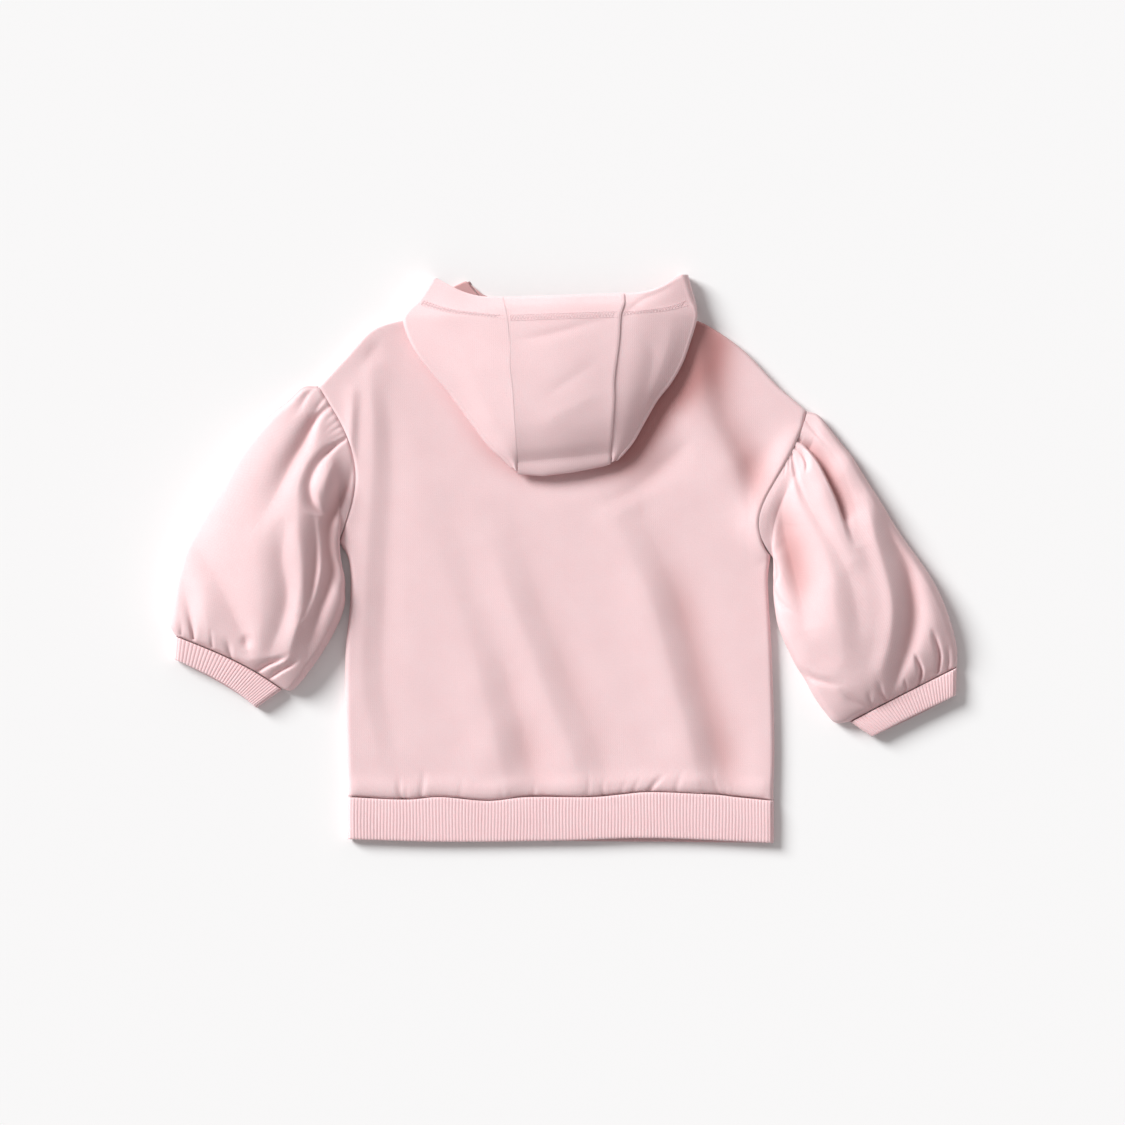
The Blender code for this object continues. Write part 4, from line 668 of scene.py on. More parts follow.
def makeSleeve(side):
    # a ring is a dome over its line: a sine to a power less than one, rounded at both edges by
    # quarter circles, flat below; rings run from the armhole seam to the cuff
    places = np.concatenate([[0, 0.03, 0.07, 0.12, 0.18, 0.25],
                             np.linspace(0.33, 13.75, sleeves["rings"] - 12),
                             [13.8, 13.85, 13.9, 13.94, 13.97, 14.0]])
    ring = smoothAt(sleeves[side], places)
    outerX, outerY, innerX, innerY, bow, height, edge = (ring[:, k:k + 1] for k in range(7))
    full = np.clip(places / 4, 0, 1)[:, None]        # 0 at the armhole, 1 where it has filled out
    lean = body["armholes"][side][5] ** (1 - full)
    reach = np.hypot(innerX - outerX, innerY - outerY)
    over = sleeveAcross(reach, sleeves["topSteps"], edge)
    under = sleeveAcross(reach, sleeves["underSteps"], edge)[:, ::-1]

    def plan(share, bowed):  # the line from outer to inner edge, bowed sideways by a sine
        swing = bow * halfWave(bowed ** lean)
        return outerX + (innerX - outerX) * share + swing, outerY + (innerY - outerY) * share

    share = over / reach
    x, y = plan(share, share)
    dome = halfWave(np.clip(share, 0, 1)) ** (1 - 0.45 * full)
    ridge, hollow = creaseHeight(x, y, sleeveCreases[side])
    room = np.clip((height - 6) / 9, 0.45, 1)        # folds are smaller where the sleeve is thin
    crown = 2 * edge + 0.9 * np.maximum(height - 2 * edge, 0) * dome + handUneven(x, y, 1.2) * room
    crown = crown + sleeves["foldDepth"] * (ridge - hollow) * room * dome ** 0.3
    fromSeam = np.hypot(outerX - outerX[0], outerY - outerY[0])
    toCuff = np.hypot(outerX - outerX[-1], outerY - outerY[-1])
    sunk = bell(fromSeam, sleeves["seamReach"][side]) + bell(toCuff, 1.2)
    crown = crown + creaseHeight(x, y, armholeRoll)[0] - sunk
    crown = np.maximum(crown, sleeves["least"])
    z = edge + (crown - edge) * quarterRound(np.minimum(over, reach - over), edge)
    top = stacked(x, y, z)

    x, y = plan(under / reach, np.clip((under - edge) / (reach - 2 * edge), 0, 1))
    z = edge * (1 - quarterRound(np.minimum(under, reach - under), edge))
    z = z + sleeves["seamLift"] * (1 - np.clip(places / 7, 0, 1) ** 4)[:, None]
    z = z + creaseHeight(x, y, underFolds[side])[0]
    points = np.concatenate([top, stacked(x, y, z)[:, 1:]], axis=1)
    around = np.cumsum(np.linalg.norm(np.diff(points, axis=1, prepend=points[:, :1]), axis=2), axis=1)
    down = runAlong(points[:, sleeves["grainColumn"]])[:, None]
    # painted shade: the depth of the top's folds goes to the hollow attribute
    deep = np.concatenate([hollow, np.zeros((len(points), points.shape[1] - hollow.shape[1]))], axis=1)
    return points, stacked(around, down), deep


for side in ("left", "right"):
    sleeve = makeCloth("sleeve" + side.capitalize(), [makeSleeve(side)], sleeves["thickness"],
                       turned=(side == "left"))
    dress(sleeve, sweatshirtKnit, "sleeve_" + side)
print("sleeves made")

bands = {
    "ribMm": 2.6, "ribRise": 0.55, "thickness": 1.4,
    "hemLeft": -172.0, "hemRight": 168.0, "hemTop": 7.6, "hemDeep": 36, "hemRibSteps": 7,
    "hemDepths": (0, 0.012, 0.035, 0.08, 0.16, 0.308, 0.456, 0.604, 0.752, 0.9, 0.95, 0.98, 1.0),
    "cuffWide": 90.0, "cuffDeep": 22, "cuffTop": 9.6, "cuffRoll": 4.8, "cuffGap": 0.7, "cuffRibSteps": 8,
    "cuffDepths": (0, 0.02, 0.05, 0.12, 0.25, 0.4, 0.55, 0.7, 0.82, 0.91, 0.96, 0.985, 1.0),
    # outer and inner end of the seam and of the edge, and how far each bows
    "left": {"seam": ((-310, -61), (-224, -104)), "edge": ((-311, -80), (-245, -119)), "bow": (7.8, 7.0)},
    "right": {"seam": ((315, -86), (229, -130)), "edge": ((314, -109), (247, -142)), "bow": (-1.0, -1.0)},
}


def ribs(along):  # rounded cords side by side: a half circle over each pitch
    part = 2 * np.mod(along / bands["ribMm"], 1) - 1
    return bands["ribRise"] * np.sqrt(np.clip(1 - 0.97 * part ** 2, 0, 1))


def makeHem():
    # the band's section runs from the zip under to the left fold, over the top to the right fold
    # and back under; ribs stand off it along its normal
    radius, left, right = body["roll"], bands["hemLeft"], bands["hemRight"]
    turn = np.linspace(0, math.pi, 14)[1:-1]
    flatSteps, topSteps = 420, 900
    topX = np.linspace(left + radius, right - radius, topSteps)
    near = np.minimum(topX - left, right - topX) - radius
    topZ = bands["hemTop"] + (body["edgeTop"] - bands["hemTop"]) * bell(near, 14)
    zipLeft, zipRight = body["zipX"] - body["frontEdge"], body["zipX"] + body["frontEdge"]
    lineX = np.concatenate([np.linspace(zipLeft, left + radius, flatSteps),
                            left + radius - radius * np.sin(turn), topX,
                            right - radius + radius * np.sin(turn[::-1]),
                            np.linspace(right - radius, zipRight, flatSteps)])
    lineZ = np.concatenate([np.zeros(flatSteps), topZ[0] / 2 * (1 - np.cos(turn)), topZ,
                            topZ[-1] / 2 * (1 - np.cos(turn[::-1])), np.zeros(flatSteps)])
    length = runAlong(np.column_stack([lineX, lineZ]))
    along = np.linspace(0, length[-1], int(length[-1] / bands["ribMm"] * bands["hemRibSteps"]))
    x, z, place = (np.interp(along, length, line) for line in (lineX, lineZ, np.arange(len(lineX))))
    slopeX, slopeZ = np.gradient(x, along), np.gradient(z, along)
    isTop = (place > flatSteps + 5) & (place < flatSteps + topSteps + 20)   # most of both folds too
    depth = np.array(bands["hemDepths"])[:, None]
    edgeY = np.where(isTop, alongHem(x, body["hemEdge"]), np.interp(x, *body["frontHemEdge"]))
    seamY = np.where(isTop, alongHem(x, body["hemSeam"]), np.interp(x, *body["frontHem"])) - 0.2
    y = edgeY + (seamY - edgeY) * depth
    wander = 0.35 * np.sin(x / 19 + 2 * depth) * np.sin(3.1 * depth + x / 53)
    height = ribs(along + wander)
    fromEdge = bands["hemDeep"] * depth
    ends = (1.1 * (1 - quarterRound(fromEdge, 1.5))
            + 0.9 * (1 - quarterRound(bands["hemDeep"] - fromEdge, 1.8)))
    puff = 0.5 * halfWave(depth) + 0.25 * np.sin(x / 27 + 3 * depth)
    topLift = (height - ends + puff) * np.abs(slopeX)
    pointsX = x - slopeZ * np.where(isTop, height, 0)
    pointsZ = np.maximum(z + np.where(isTop, topLift, 0.35 * height), 0)
    return stacked(pointsX, y, pointsZ), stacked(along, fromEdge), 0 * y


hem = makeCloth("hemBand", [makeHem()], bands["thickness"])
dress(hem, ribKnit, "hem_band")


def makeCuff(side):
    # a flattened ring: over the top from the outer to the inner edge, half circles at both edges,
    # and back below; ribs stand off it, and it narrows from the seam to the edge
    radius, top, wide, deep = (bands[key] for key in ("cuffRoll", "cuffTop", "cuffWide", "cuffDeep"))
    turn = np.linspace(0, math.pi, 12)[1:-1]
    flat = np.linspace(radius, wide - radius, 200)
    lineX = np.concatenate([flat, wide - radius + radius * np.sin(turn), flat[::-1],
                            radius - radius * np.sin(turn), flat[:1]])
    lineZ = np.concatenate([np.full(200, top), top / 2 * (1 + np.cos(turn)), np.zeros(200),
                            top / 2 * (1 - np.cos(turn)), [top]])
    length = runAlong(np.column_stack([lineX, lineZ]))
    ribCount = round(length[-1] / bands["ribMm"])
    along = np.linspace(0, length[-1], ribCount * bands["cuffRibSteps"] + 1)
    share, z = np.interp(along, length, lineX) / wide, np.interp(along, length, lineZ)
    height = ribs(along * bands["ribMm"] * ribCount / length[-1])        # whole ribs all round
    depth = np.array(bands["cuffDepths"])[:, None]
    (seamA, seamB), (edgeA, edgeB) = (np.array(bands[side][key], float) for key in ("seam", "edge"))
    gap = bands["cuffGap"] / deep
    a = seamA + (edgeA - seamA) * (gap + (1 - gap) * depth)
    b = seamB + (edgeB - seamB) * (gap + (1 - gap) * depth)
    bowSeam, bowEdge = bands[side]["bow"]
    x = a[:, :1] + (b - a)[:, :1] * share + (bowSeam + (bowEdge - bowSeam) * depth) * halfWave(share)
    onTop = np.clip((z - 0.25 * top) / (0.5 * top), 0, 1)
    y = a[:, 1:] + (b - a)[:, 1:] * share - 1.4 * (1 - onTop) * depth ** 3 * halfWave(share)
    ends = 2 - quarterRound(deep * depth, 1.4) - quarterRound(deep * (1 - depth), 1.6)
    lift = (height - ends + 0.5 * halfWave(depth)) * onTop + 0.25 * height * (1 - onTop)
    return stacked(x, y, np.maximum(z + lift, 0)), stacked(along, deep * depth), 0 * x


for side in ("left", "right"):
    cuff = makeCloth("cuff" + side.capitalize(), [makeCuff(side)], bands["thickness"],
                     turned=(side == "left"))
    dress(cuff, ribKnit, "cuff_" + side)
print("rib bands made")

hood = {
    # fold x and y, its low and top height, seam x, y and height: face opening to bottom fold
    "left": [(-107, 224, 0.0, 17.0, -48, 209, 22.0), (-112, 215, 0.5, 17.0, -47, 205, 24.8),
             (-118, 206, 1.5, 17.2, -46, 201, 27.1), (-124, 199, 7.6, 17.6, -45, 196, 28.6),
             (-128, 191, 8.6, 18.0, -44, 190, 29.6), (-123, 175, 8.8, 18.2, -42, 171, 31.0),
             (-115, 161, 8.8, 18.4, -42, 153, 31.8), (-104, 147, 8.8, 18.4, -40, 136, 31.8),
             (-92, 133, 8.8, 18.4, -39, 119, 31.2), (-75, 110, 8.8, 18.2, -38, 103, 29.2),
             (-59, 89, 8.8, 18.0, -37, 88, 24.5), (-47, 78, 8.8, 17.4, -36, 77, 18.4),
             (-41.5, 72.5, 10.8, 15.6, -36.5, 70, 15.9)],
    "right": [(100, 227, 0.0, 17.0, 49, 212, 22.0), (103, 216, 0.5, 16.8, 49, 208, 24.8),
              (106, 206, 1.5, 16.6, 49, 204, 27.1), (107, 199, 9.0, 16.8, 47.5, 199, 28.6),
              (107, 191, 10.4, 17.0, 46, 193, 29.6), (102, 174, 10.4, 17.0, 45, 175, 31.0),
              (96, 157, 10.4, 17.0, 43, 159, 31.8), (87, 141, 10.4, 17.0, 41, 143, 31.8),
              (76, 127, 10.4, 17.0, 41, 127, 31.2), (66, 110, 10.4, 17.0, 40, 111, 29.2),
              (57, 94, 10.4, 17.0, 39, 96, 24.5), (49, 84, 10.4, 17.0, 38, 84, 18.4),
              (43.5, 78.5, 10.8, 15.0, 38.5, 77, 15.9)],
    # where the layer below meets the strip's lower seam, from the neck to the bottom fold
    "low": {"left": [(-39.5, 174), (-39, 168), (-40, 158), (-40, 146), (-39, 132), (-38, 117),
                     (-38, 101), (-37, 88), (-36, 77), (-36.5, 70)],
            "right": [(40, 174), (40, 168), (40, 158), (40, 146), (40, 132), (40, 117),
                      (40, 105), (39, 94), (38, 84), (38.5, 77)]},
    "rimSag": {"left": 5.0, "right": 4.5},
    "flapEdge": {"left": [(-107, 224), (-100, 218), (-92, 216), (-85, 219), (-78, 222), (-75.6, 220)],
                 "right": [(100, 227), (84, 215), (55, 205), (10, 199), (-54, 208), (-74.4, 219.5)]},
    # the front flap, seen past the face opening, has painted shade over all of it
    "flapNeck": (66, 48, 26, 13, 0), "flapPaintedShade": 8.0,
    "bottomFold": [(-36, 67.5), (-16, 66), (8, 69), (33, 74), (39, 76)],
    "gap": 0.06, "seamSink": {"left": 0.0, "right": 1.3}, "rest": 0.9, "lowest": 8.8,
    "neckWide": 40.2, "stripNeck": 39.8, "thickness": 2.0, "crown": 1.6, "stripCrown": 2.0,
}

hoodCreases = [
    [(-40.8, 175.2, -0.2, 3, 4), (-21.6, 176.8, -0.7, 3, 4), (-0.8, 181.6, -0.7, 3, 4),
     (21.6, 188, -0.5, 3, 4), (39.2, 192, -0.2, 3, 4)],
    [(-14.4, 128.8, -0.2, 6, 6), (-0.8, 138.4, -0.5, 6, 6), (13.6, 148, -0.5, 6, 6),
     (29.6, 159.2, -0.2, 6, 6)],
    [(-18.4, 103.2, 0.1, 7, 7), (-5.6, 114.4, 0.5, 7, 7), (13.6, 124, 0.5, 7, 7),
     (31.2, 133.6, 0.1, 7, 7)],
    [(-29.6, 71.2, -0.1, 6, 6), (-14.4, 77.6, -0.5, 6, 6), (5.6, 79.2, -0.5, 6, 6),
     (29.6, 85.6, -0.2, 6, 6)],
    [(52, 197.6, -0.3, 2.5, 3), (63.2, 206.4, -0.8, 2.5, 3), (77.6, 212.8, -0.5, 3, 3),
     (90.4, 220.8, -0.2, 3, 3)],
    [(61.6, 178.4, -0.2, 7, 7), (71.2, 165.6, -0.7, 8, 7), (69.6, 144.8, -0.7, 8, 7),
     (61.6, 124, -0.3, 7, 7)],
    [(85.6, 191.2, 0.2, 7, 7), (84, 171.2, 0.8, 8, 8), (74.4, 143.2, 0.7, 7, 7),
     (61.6, 111.2, 0.2, 6, 6)],
    [(-98.4, 192.8, -0.1, 8, 8), (-80.8, 183.2, -0.6, 9, 8), (-66.4, 165.6, -0.4, 8, 8)],
    [(-88.8, 159.2, 0.1, 9, 9), (-71.2, 139.2, 0.7, 9, 9), (-56.8, 111.2, 0.5, 8, 8)],
]

# rows of the hood from its face opening (0) past the neck (2) to the bottom fold (12)
hoodRows = np.concatenate([[0, 0.03, 0.08], np.linspace(0, 2, 24)[2:], np.linspace(2, 12, 110)[1:]])
seamColumns = np.array([0, 0.0014, 0.007, 0.015, 0.026, 0.04, 0.06])     # shares in from a seam


def hoodAt(side, t):  # fold x, y, low and top, seam x, y and z for any array of row places
    return np.moveaxis(smoothAt(hood[side], t.ravel()).reshape(t.shape + (7,)), -1, 0)


def hoodTop(side, t, u):
    # from the strip's seam (u 0) to the side fold (u 1): a straight line, swelled by a sine, its
    # face opening sagging by a sine, with creases, and sunk at the right seam by a bell curve
    t, u = np.broadcast_arrays(t, u)
    foldX, foldY, foldLow, foldTop, seamX, seamY, seamZ = hoodAt(side, t)
    seamX = seamX + wayOut[side] * hood["gap"] / 2
    x = seamX + (foldX - wayOut[side] * 0.4 * (foldTop - foldLow) - seamX) * u
    y = seamY + (foldY - seamY) * u - hood["rimSag"][side] * np.clip(1 - t / 4, 0, 1) * halfWave(u)
    ridge, hollow = creaseHeight(x, y, hoodCreases)
    free = np.clip((1 - u) / 0.16, 0, 1) ** 0.7
    z = seamZ + (foldTop - seamZ) * u + hood["crown"] * halfWave(u)
    z = z + (ridge - hollow + handUneven(x, y, 0.8)) * free
    z = z - hood["seamSink"][side] * bell(x - seamX, 11) - 0.9 * bell(t * 9.5, 1.1)
    return x, y, z, hollow


def stripTop(t, u):
    # between the two seams, crowned by a sine and sunk at both
    t, u = np.broadcast_arrays(t, u)
    left, right = hoodAt("left", t), hoodAt("right", t)
    low, high = left[4] - 0.05, right[4] - 0.05
    x = low + (high - low) * u
    y = left[5] + (right[5] - left[5]) * u
    ridge, hollow = creaseHeight(x, y, hoodCreases)
    arch = halfWave(np.clip(u, 0, 1))
    z = left[6] + hood["stripCrown"] * arch ** 1.5
    z = z + (ridge - hollow + handUneven(x, y, 0.8)) * arch ** 0.4
    z = z - 0.05 * bell(x - low, 0.9) - 0.5 * bell(high - x, 1.0) - bell(t * 5, 1.4)
    return x, y, z, hollow


def overBack(x, y):  # underside of hood cloth lying on the back, clear of the shoulder folds
    near = np.minimum(x - neckPoint["left"][0], neckPoint["right"][0] - x)
    return np.maximum(clothTop(x, y)[0] + hood["rest"], np.where(near < 30, hood["lowest"], 0))


def neckLineY(x):  # back neckline: between the neck points, dipped by a sine
    (leftX, leftY), (rightX, rightY) = neckPoint["left"], neckPoint["right"]
    share = np.clip((x - leftX) / (rightX - leftX), 0, 1)
    return leftY + (rightY - leftY) * share - body["neckDip"] * halfWave(share)


def settled(plan, level, first, reach):
    # heights that start at the fold's own and settle to their level by a bell curve
    away = np.hypot(plan[..., 0] - first[:, None, 0], plan[..., 1] - first[:, None, 1])
    return level + (first[:, None, 2] - level[:, :1]) * bell(away, reach)


def makeHoodSide(side):
    # The panel is three grids that meet along its side fold.  First the top layer out to the fold,
    # with a half circle round it.
    way = wayOut[side]
    u = np.concatenate([seamColumns, np.linspace(0.08, 1, 54)])
    x, y, z, hollow = hoodTop(side, hoodRows[:, None], u)
    foldX, foldY, foldLow, foldTop = (part[:, None] for part in hoodAt(side, hoodRows)[:4])
    radius = (foldTop - foldLow) / 2
    angle = np.radians(np.linspace(90, -90, 18))[1:]
    arc = stacked(foldX - way * 0.8 * radius * (1 - np.cos(angle)), foldY,
                  (foldLow + foldTop) / 2 + radius * np.sin(angle))
    upper = np.concatenate([stacked(x, y, z), arc], axis=1)
    # painted shade in the upper layer's fold hollows
    deep = np.concatenate([hollow, np.zeros(arc.shape[:2])], axis=1)
    start = upper[:, -1]

    # then the layer on the back: straight lines in from the fold, at the back's height, its first
    # row along the neckline
    behind = hoodRows >= 2
    t, first = hoodRows[behind], start[behind]
    far = smoothAt(hood["low"][side], np.clip(t - 3, 0, 9)) + [way * hood["gap"] / 2, 0]
    plan = first[:, None, :2] + np.linspace(0, 1, 36)[:, None] * (far - first[:, :2])[:, None]
    neckX = np.concatenate([first[:1, 0], np.linspace(first[0, 0] - way * 7, way * hood["neckWide"], 35)])
    neck = np.column_stack([neckX, neckLineY(neckX)])
    neck[0, 1] = first[0, 1]
    neck[1, 1] += 5
    blend = np.clip(t - 2, 0, 1)[:, None, None]
    plan = neck * (1 - blend) + plan * blend
    plan[:, 0] = first[:, :2]
    least = np.clip(t - 11, 0, 1)[:, None] * 10.8
    level = settled(plan, np.maximum(overBack(plan[..., 0], plan[..., 1]), least), first, 6)
    nape = stacked(plan[..., 0], plan[..., 1], level)

    # last the layer in front of the neck: from the far rim to the front neckline, on the floor
    front = hoodRows <= 2
    t, first = hoodRows[front], start[front]
    rim = np.vstack([first[0, :2], hood["flapEdge"][side][1:]])
    near = np.array([neckCurve(side, angle) for angle in hood["flapNeck"]], float)
    near[:, 1] += 0.35
    near[-1, 0] = body["zipX"] + way * 0.4
    neckEdge = np.vstack([first[-1, :2], near])
    places = np.linspace(0, 5, 60)
    blend = (t / 2)[:, None, None]
    plan = smoothAt(rim, places) * (1 - blend) + smoothAt(neckEdge, places) * blend
    plan[:, 0] = first[:, :2]
    level = settled(plan, propped(plan[..., 0], plan[..., 1], body["frontProp"]), first, 7)
    flap = stacked(plan[..., 0], plan[..., 1], level)
    # the flap's colour carries painted shade all over; the layer on the back carries none
    return [(upper, upper[..., :2], deep), (nape, nape[..., :2] * [1, -1], np.zeros(nape.shape[:2])),
            (flap, flap[..., :2], np.full(flap.shape[:2], hood["flapPaintedShade"]))]


for side in ("left", "right"):
    panel = makeCloth("hood" + side.capitalize(), makeHoodSide(side), hood["thickness"],
                      turned=(side == "right"))
    dress(panel, sweatshirtKnit, "hood_" + side)


def makeStrip():
    # down from the face opening, round the bottom fold in a half circle, back up to the neck
    narrow = seamColumns * 0.6
    u = np.concatenate([narrow, np.linspace(0.05, 0.95, 42), 1 - narrow[::-1]])[None, :]
    t = np.concatenate([[0, 0.05, 0.12, 0.25], np.linspace(0.4, 11, 120)])
    x, y, z, hollow = stripTop(t[:, None], u)
    low = hood["lowest"]
    lean = math.radians(55)                          # the fold takes over from the slope above it
    angle = np.linspace(lean, -math.pi / 2, 18)[1:-1, None]
    lastX, lastY, lastZ = x[-1:], y[-1:], z[-1:]
    foldX, foldY = np.array(hood["bottomFold"], float).T
    out = (np.cos(angle) - math.cos(lean)) / (1 - math.cos(lean))
    drop = (1 + np.sin(angle)) / (1 + math.sin(lean))
    foldY = np.interp(lastX, foldX, foldY)
    arc = stacked(lastX, lastY - (lastY - foldY) * out, low + (lastZ - low) * drop)
    a, b = (smoothAt(hood["low"][side], np.linspace(8, 0, 50))[:, None] for side in ("left", "right"))
    lowX = a[..., 0] + 0.2 + (b[..., 0] - a[..., 0] - 0.4) * u
    lowY = a[..., 1] + (b[..., 1] - a[..., 1]) * u
    neckX = hood["stripNeck"] * (2 * u - 1)
    join = np.linspace(0, 1, 6)[1:, None]
    lowX, lowY = (np.vstack([line, line[-1:] + (neck - line[-1:]) * join])
                  for line, neck in ((lowX, neckX), (lowY, neckLineY(neckX))))
    lowZ = overBack(lowX, lowY)
    lowZ = lowZ + (low - lowZ[:1]) * bell(np.arange(len(lowZ)), 5.0)[:, None]
    below = stacked(lowX, lowY, lowZ)
    points = np.concatenate([stacked(x, y, z), arc, below])
    uv = stacked(points[..., 0], 209 - runAlong(points[:, 20])[:, None])
    # painted shade in the strip's fold hollows
    deep = np.concatenate([hollow, np.zeros((len(arc) + len(below), hollow.shape[1]))])
    return points, uv, deep


strip = makeCloth("hoodCentre", [makeStrip()], hood["thickness"], turned=True)
dress(strip, sweatshirtKnit, "hood_centre")
print("hood made")

sewing = {"pitchMm": 2.6, "threadMm": 0.36, "colour": "#FBE6E8", "shade": "#F0CDD0", "proud": 0.1,
          "arch": 0.09}


def threadMaterial():
    # spun polyester thread: a close twist, drawn as fine slanting bands, with a slight shine
    material, tree = newMaterial("spunThread")
    place = addNode(tree, "ShaderNodeTexCoord").outputs["Object"]
    twist = addNode(tree, "ShaderNodeTexWave", {"Vector": place, "Scale": 900.0, "Distortion": 2.0},
                    bands_direction="DIAGONAL").outputs["Fac"]
    colour = addMix(tree, twist, linear(sewing["colour"]), linear(sewing["shade"]))
    addShader(tree, {"Base Color": colour, "Normal": addBump(tree, twist, 0.4, 0.05),
                     "Roughness": 0.55, "Sheen Weight": 0.2})
    return material


def makeBars(name, starts, ends, radius, arch):
    # one closed spindle for each pair of points: a hexagon carried along it, fullest half way
    share = np.array([0.0, 0.14, 0.5, 0.86, 1.0])
    girth = np.array([0.35, 0.85, 1.0, 0.85, 0.35]) * radius
    line = ends - starts
    middle = starts[:, None] + line[:, None] * share[:, None]
    middle[..., 2] += arch * halfWave(share)
    across = stacked(-line[:, 1], line[:, 0], 0) / np.hypot(line[:, 0], line[:, 1])[:, None]
    turn = np.linspace(0, 2 * math.pi, 7)[:-1, None]
    ring = across[:, None, None] * np.cos(turn) + np.array([0, 0, 1.0]) * np.sin(turn)
    points = middle[:, :, None] + ring * girth[:, None, None]
    start = 30 * np.arange(len(starts))[:, None, None]
    level, column = 6 * np.arange(4)[:, None], np.arange(6)
    after = (column + 1) % 6
    quads = np.stack([start + level + column, start + level + after,
                      start + level + 6 + after, start + level + 6 + column], axis=-1).reshape(-1, 4)
    caps = np.concatenate([start[:, 0] + column[::-1], start[:, 0] + 24 + column])
    return makeMesh(name, points.reshape(-1, 3), quads.tolist() + caps.tolist())


def stitchLine(line, pitch):  # start and end of each stitch along a line of points
    run = runAlong(line)
    at = np.arange(0.5, run[-1] - pitch, pitch)
    return [np.column_stack([np.interp(place, run, part) for part in line.T])
            for place in (at, at + 0.8 * pitch)]


def makeCoverstitch():
    # two rows of stitches along the hood's face opening with a zigzag between them
    u = np.linspace(0, 1, 60)
    pairs = []
    for shift in (0.0, 1.0):
        left = hoodTop("left", 3.4 - 1.5 * (1 - u) + 0.5 * shift, (1 - u) * 0.97 + 0.02)
        centre = stripTop(3.4 + 0.62 * shift, u * 0.96 + 0.02)
        right = hoodTop("right", 3.4 - 1.5 * u + 0.5 * shift, u * 0.97 + 0.02)
        pairs.append([np.column_stack(part[:3]) + [0, 0, sewing["proud"]]
                      for part in (left, centre, right)])
    starts, ends = [], []
    for pair in zip(*pairs):                         # one panel after another
        stitches = [stitchLine(line, sewing["pitchMm"]) for line in pair]
        for first, last in stitches:
            starts.append(first)
            ends.append(last)
        upper, lower = stitches[0][0], stitches[1][0]
        count = min(len(upper), len(lower)) - 1
        starts += [upper[:count], lower[:count]]
        ends += [lower[:count], upper[1:count + 1]]
    return makeBars("hoodCoverstitch", np.vstack(starts), np.vstack(ends), sewing["threadMm"] / 2,
                    sewing["arch"])


coverstitch = makeCoverstitch()
coverstitch.data.materials.append(threadMaterial())
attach(coverstitch, "garment")
print("sewing made")

zipper = {
    "x": -6.0, "bottom": -224.0, "tapeTop": 139.0, "chainTop": 134.1, "tapeLow": 2.75,
    "tapeThick": 0.6, "tapeAcross": (1.2, 1.7, 2.4, 3.4, 5, 7, 9, 11, 12, 12.6, 13.0),
    "toothPitch": 1.9, "toothRadius": 0.72, "toothZ": 1.35,
    "sliderY": 131.0, "sliderWidth": 9.0, "sliderLength": 11.0, "hingeZ": 1.85,
    "tabWidth": 6.4, "tabLength": 23.0, "tabAbove": 0.5, "tabThick": 1.0,
    "eyeWidth": 3.2, "eyeLength": 4.2,
}


def plainMaterial(name, colourA, colourB, scale, roughness, metallic, bumpMm):
    # a hard finish whose colour, gloss and skin all wander a little with one noise
    material, tree = newMaterial(name)
    place = addNode(tree, "ShaderNodeTexCoord").outputs["Object"]
    noise = addNoise(tree, place, scale, 4.0)
    colour = addMix(tree, noise, linear(colourA), linear(colourB))
    rough = addRange(tree, noise, 0.3, 0.7, roughness - 0.06, roughness + 0.08)
    addShader(tree, {"Base Color": colour, "Normal": addBump(tree, noise, 0.3, bumpMm),
                     "Roughness": rough, "Metallic": metallic})
    return material


# nylon monofilament, wound into a coil and set by heat: smooth, with a dull plastic gleam
nylonCoil = plainMaterial("nylonCoil", "#EFC3C7", "#E6B4B9", 600.0, 0.42, 0.0, 0.02)
# zinc casting plated in satin nickel: grey, faintly cloudy, with soft highlights
satinNickel = plainMaterial("satinNickel", "#C9C8CA", "#BDBCC0", 1500.0, 0.32, 1.0, 0.01)


def makeTape(side):
    # a flat strip beside the chain, its woven edge a little thicker, rising over the slider
    across = np.array(zipper["tapeAcross"])[::wayOut[side]]
    y = np.linspace(zipper["bottom"], zipper["tapeTop"], 200)[:, None]
    x = zipper["x"] + wayOut[side] * across
    z = zipper["tapeLow"] - 0.12 * bell(across - 2.2, 0.6) + propped(zipper["x"], y, body["frontProp"])
    return stacked(x, y, z), stacked(x, y), 0 * z


for side in ("left", "right"):
    tape = makeCloth("zipTape" + side.capitalize(), [makeTape(side)], zipper["tapeThick"], turned=True)
    dress(tape, wovenTape, "zip_tape_" + side)


def makeTeeth():
    # loops of the coil, one from each side in turn, each a spindle laid across the zip
    y = np.arange(zipper["bottom"] + 1, zipper["chainTop"] - 0.5, zipper["toothPitch"] / 2)
    way = np.where(np.arange(len(y)) % 2, 1.0, -1.0)
    z = zipper["toothZ"] + propped(zipper["x"], y, body["frontProp"])
    return makeBars("zipChain", stacked(zipper["x"] - 0.55 * way, y, z),
                    stacked(zipper["x"] + 1.85 * way, y + 0.25, z), zipper["toothRadius"], -0.2)


teeth = makeTeeth()
teeth.data.materials.append(nylonCoil)
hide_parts("zip_chain")
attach(teeth, "garment")


def slab(outline, low, high, hole=None):
    # an outline stood up between two heights; with a hole, a flat ring between two outlines
    count = len(outline)
    step = np.arange(count)
    after = (step + 1) % count
    walls = np.stack([step, after, count + after, count + step], axis=-1)
    levels = [(outline, low), (outline, high)] + ([] if hole is None else [(hole, low), (hole, high)])
    points = np.vstack([np.column_stack([line, np.full(count, z)]) for line, z in levels])
    if hole is None:
        return points, walls.tolist() + [step[::-1].tolist(), (count + step).tolist()]
    inside = np.stack([after, step, count + step, count + after], axis=-1) + 2 * count
    top = np.stack([count + step, count + after, 3 * count + after, 3 * count + step], axis=-1)
    bottom = np.stack([after, step, 2 * count + step, 2 * count + after], axis=-1)
    return points, np.vstack([walls, inside, top, bottom]).tolist()


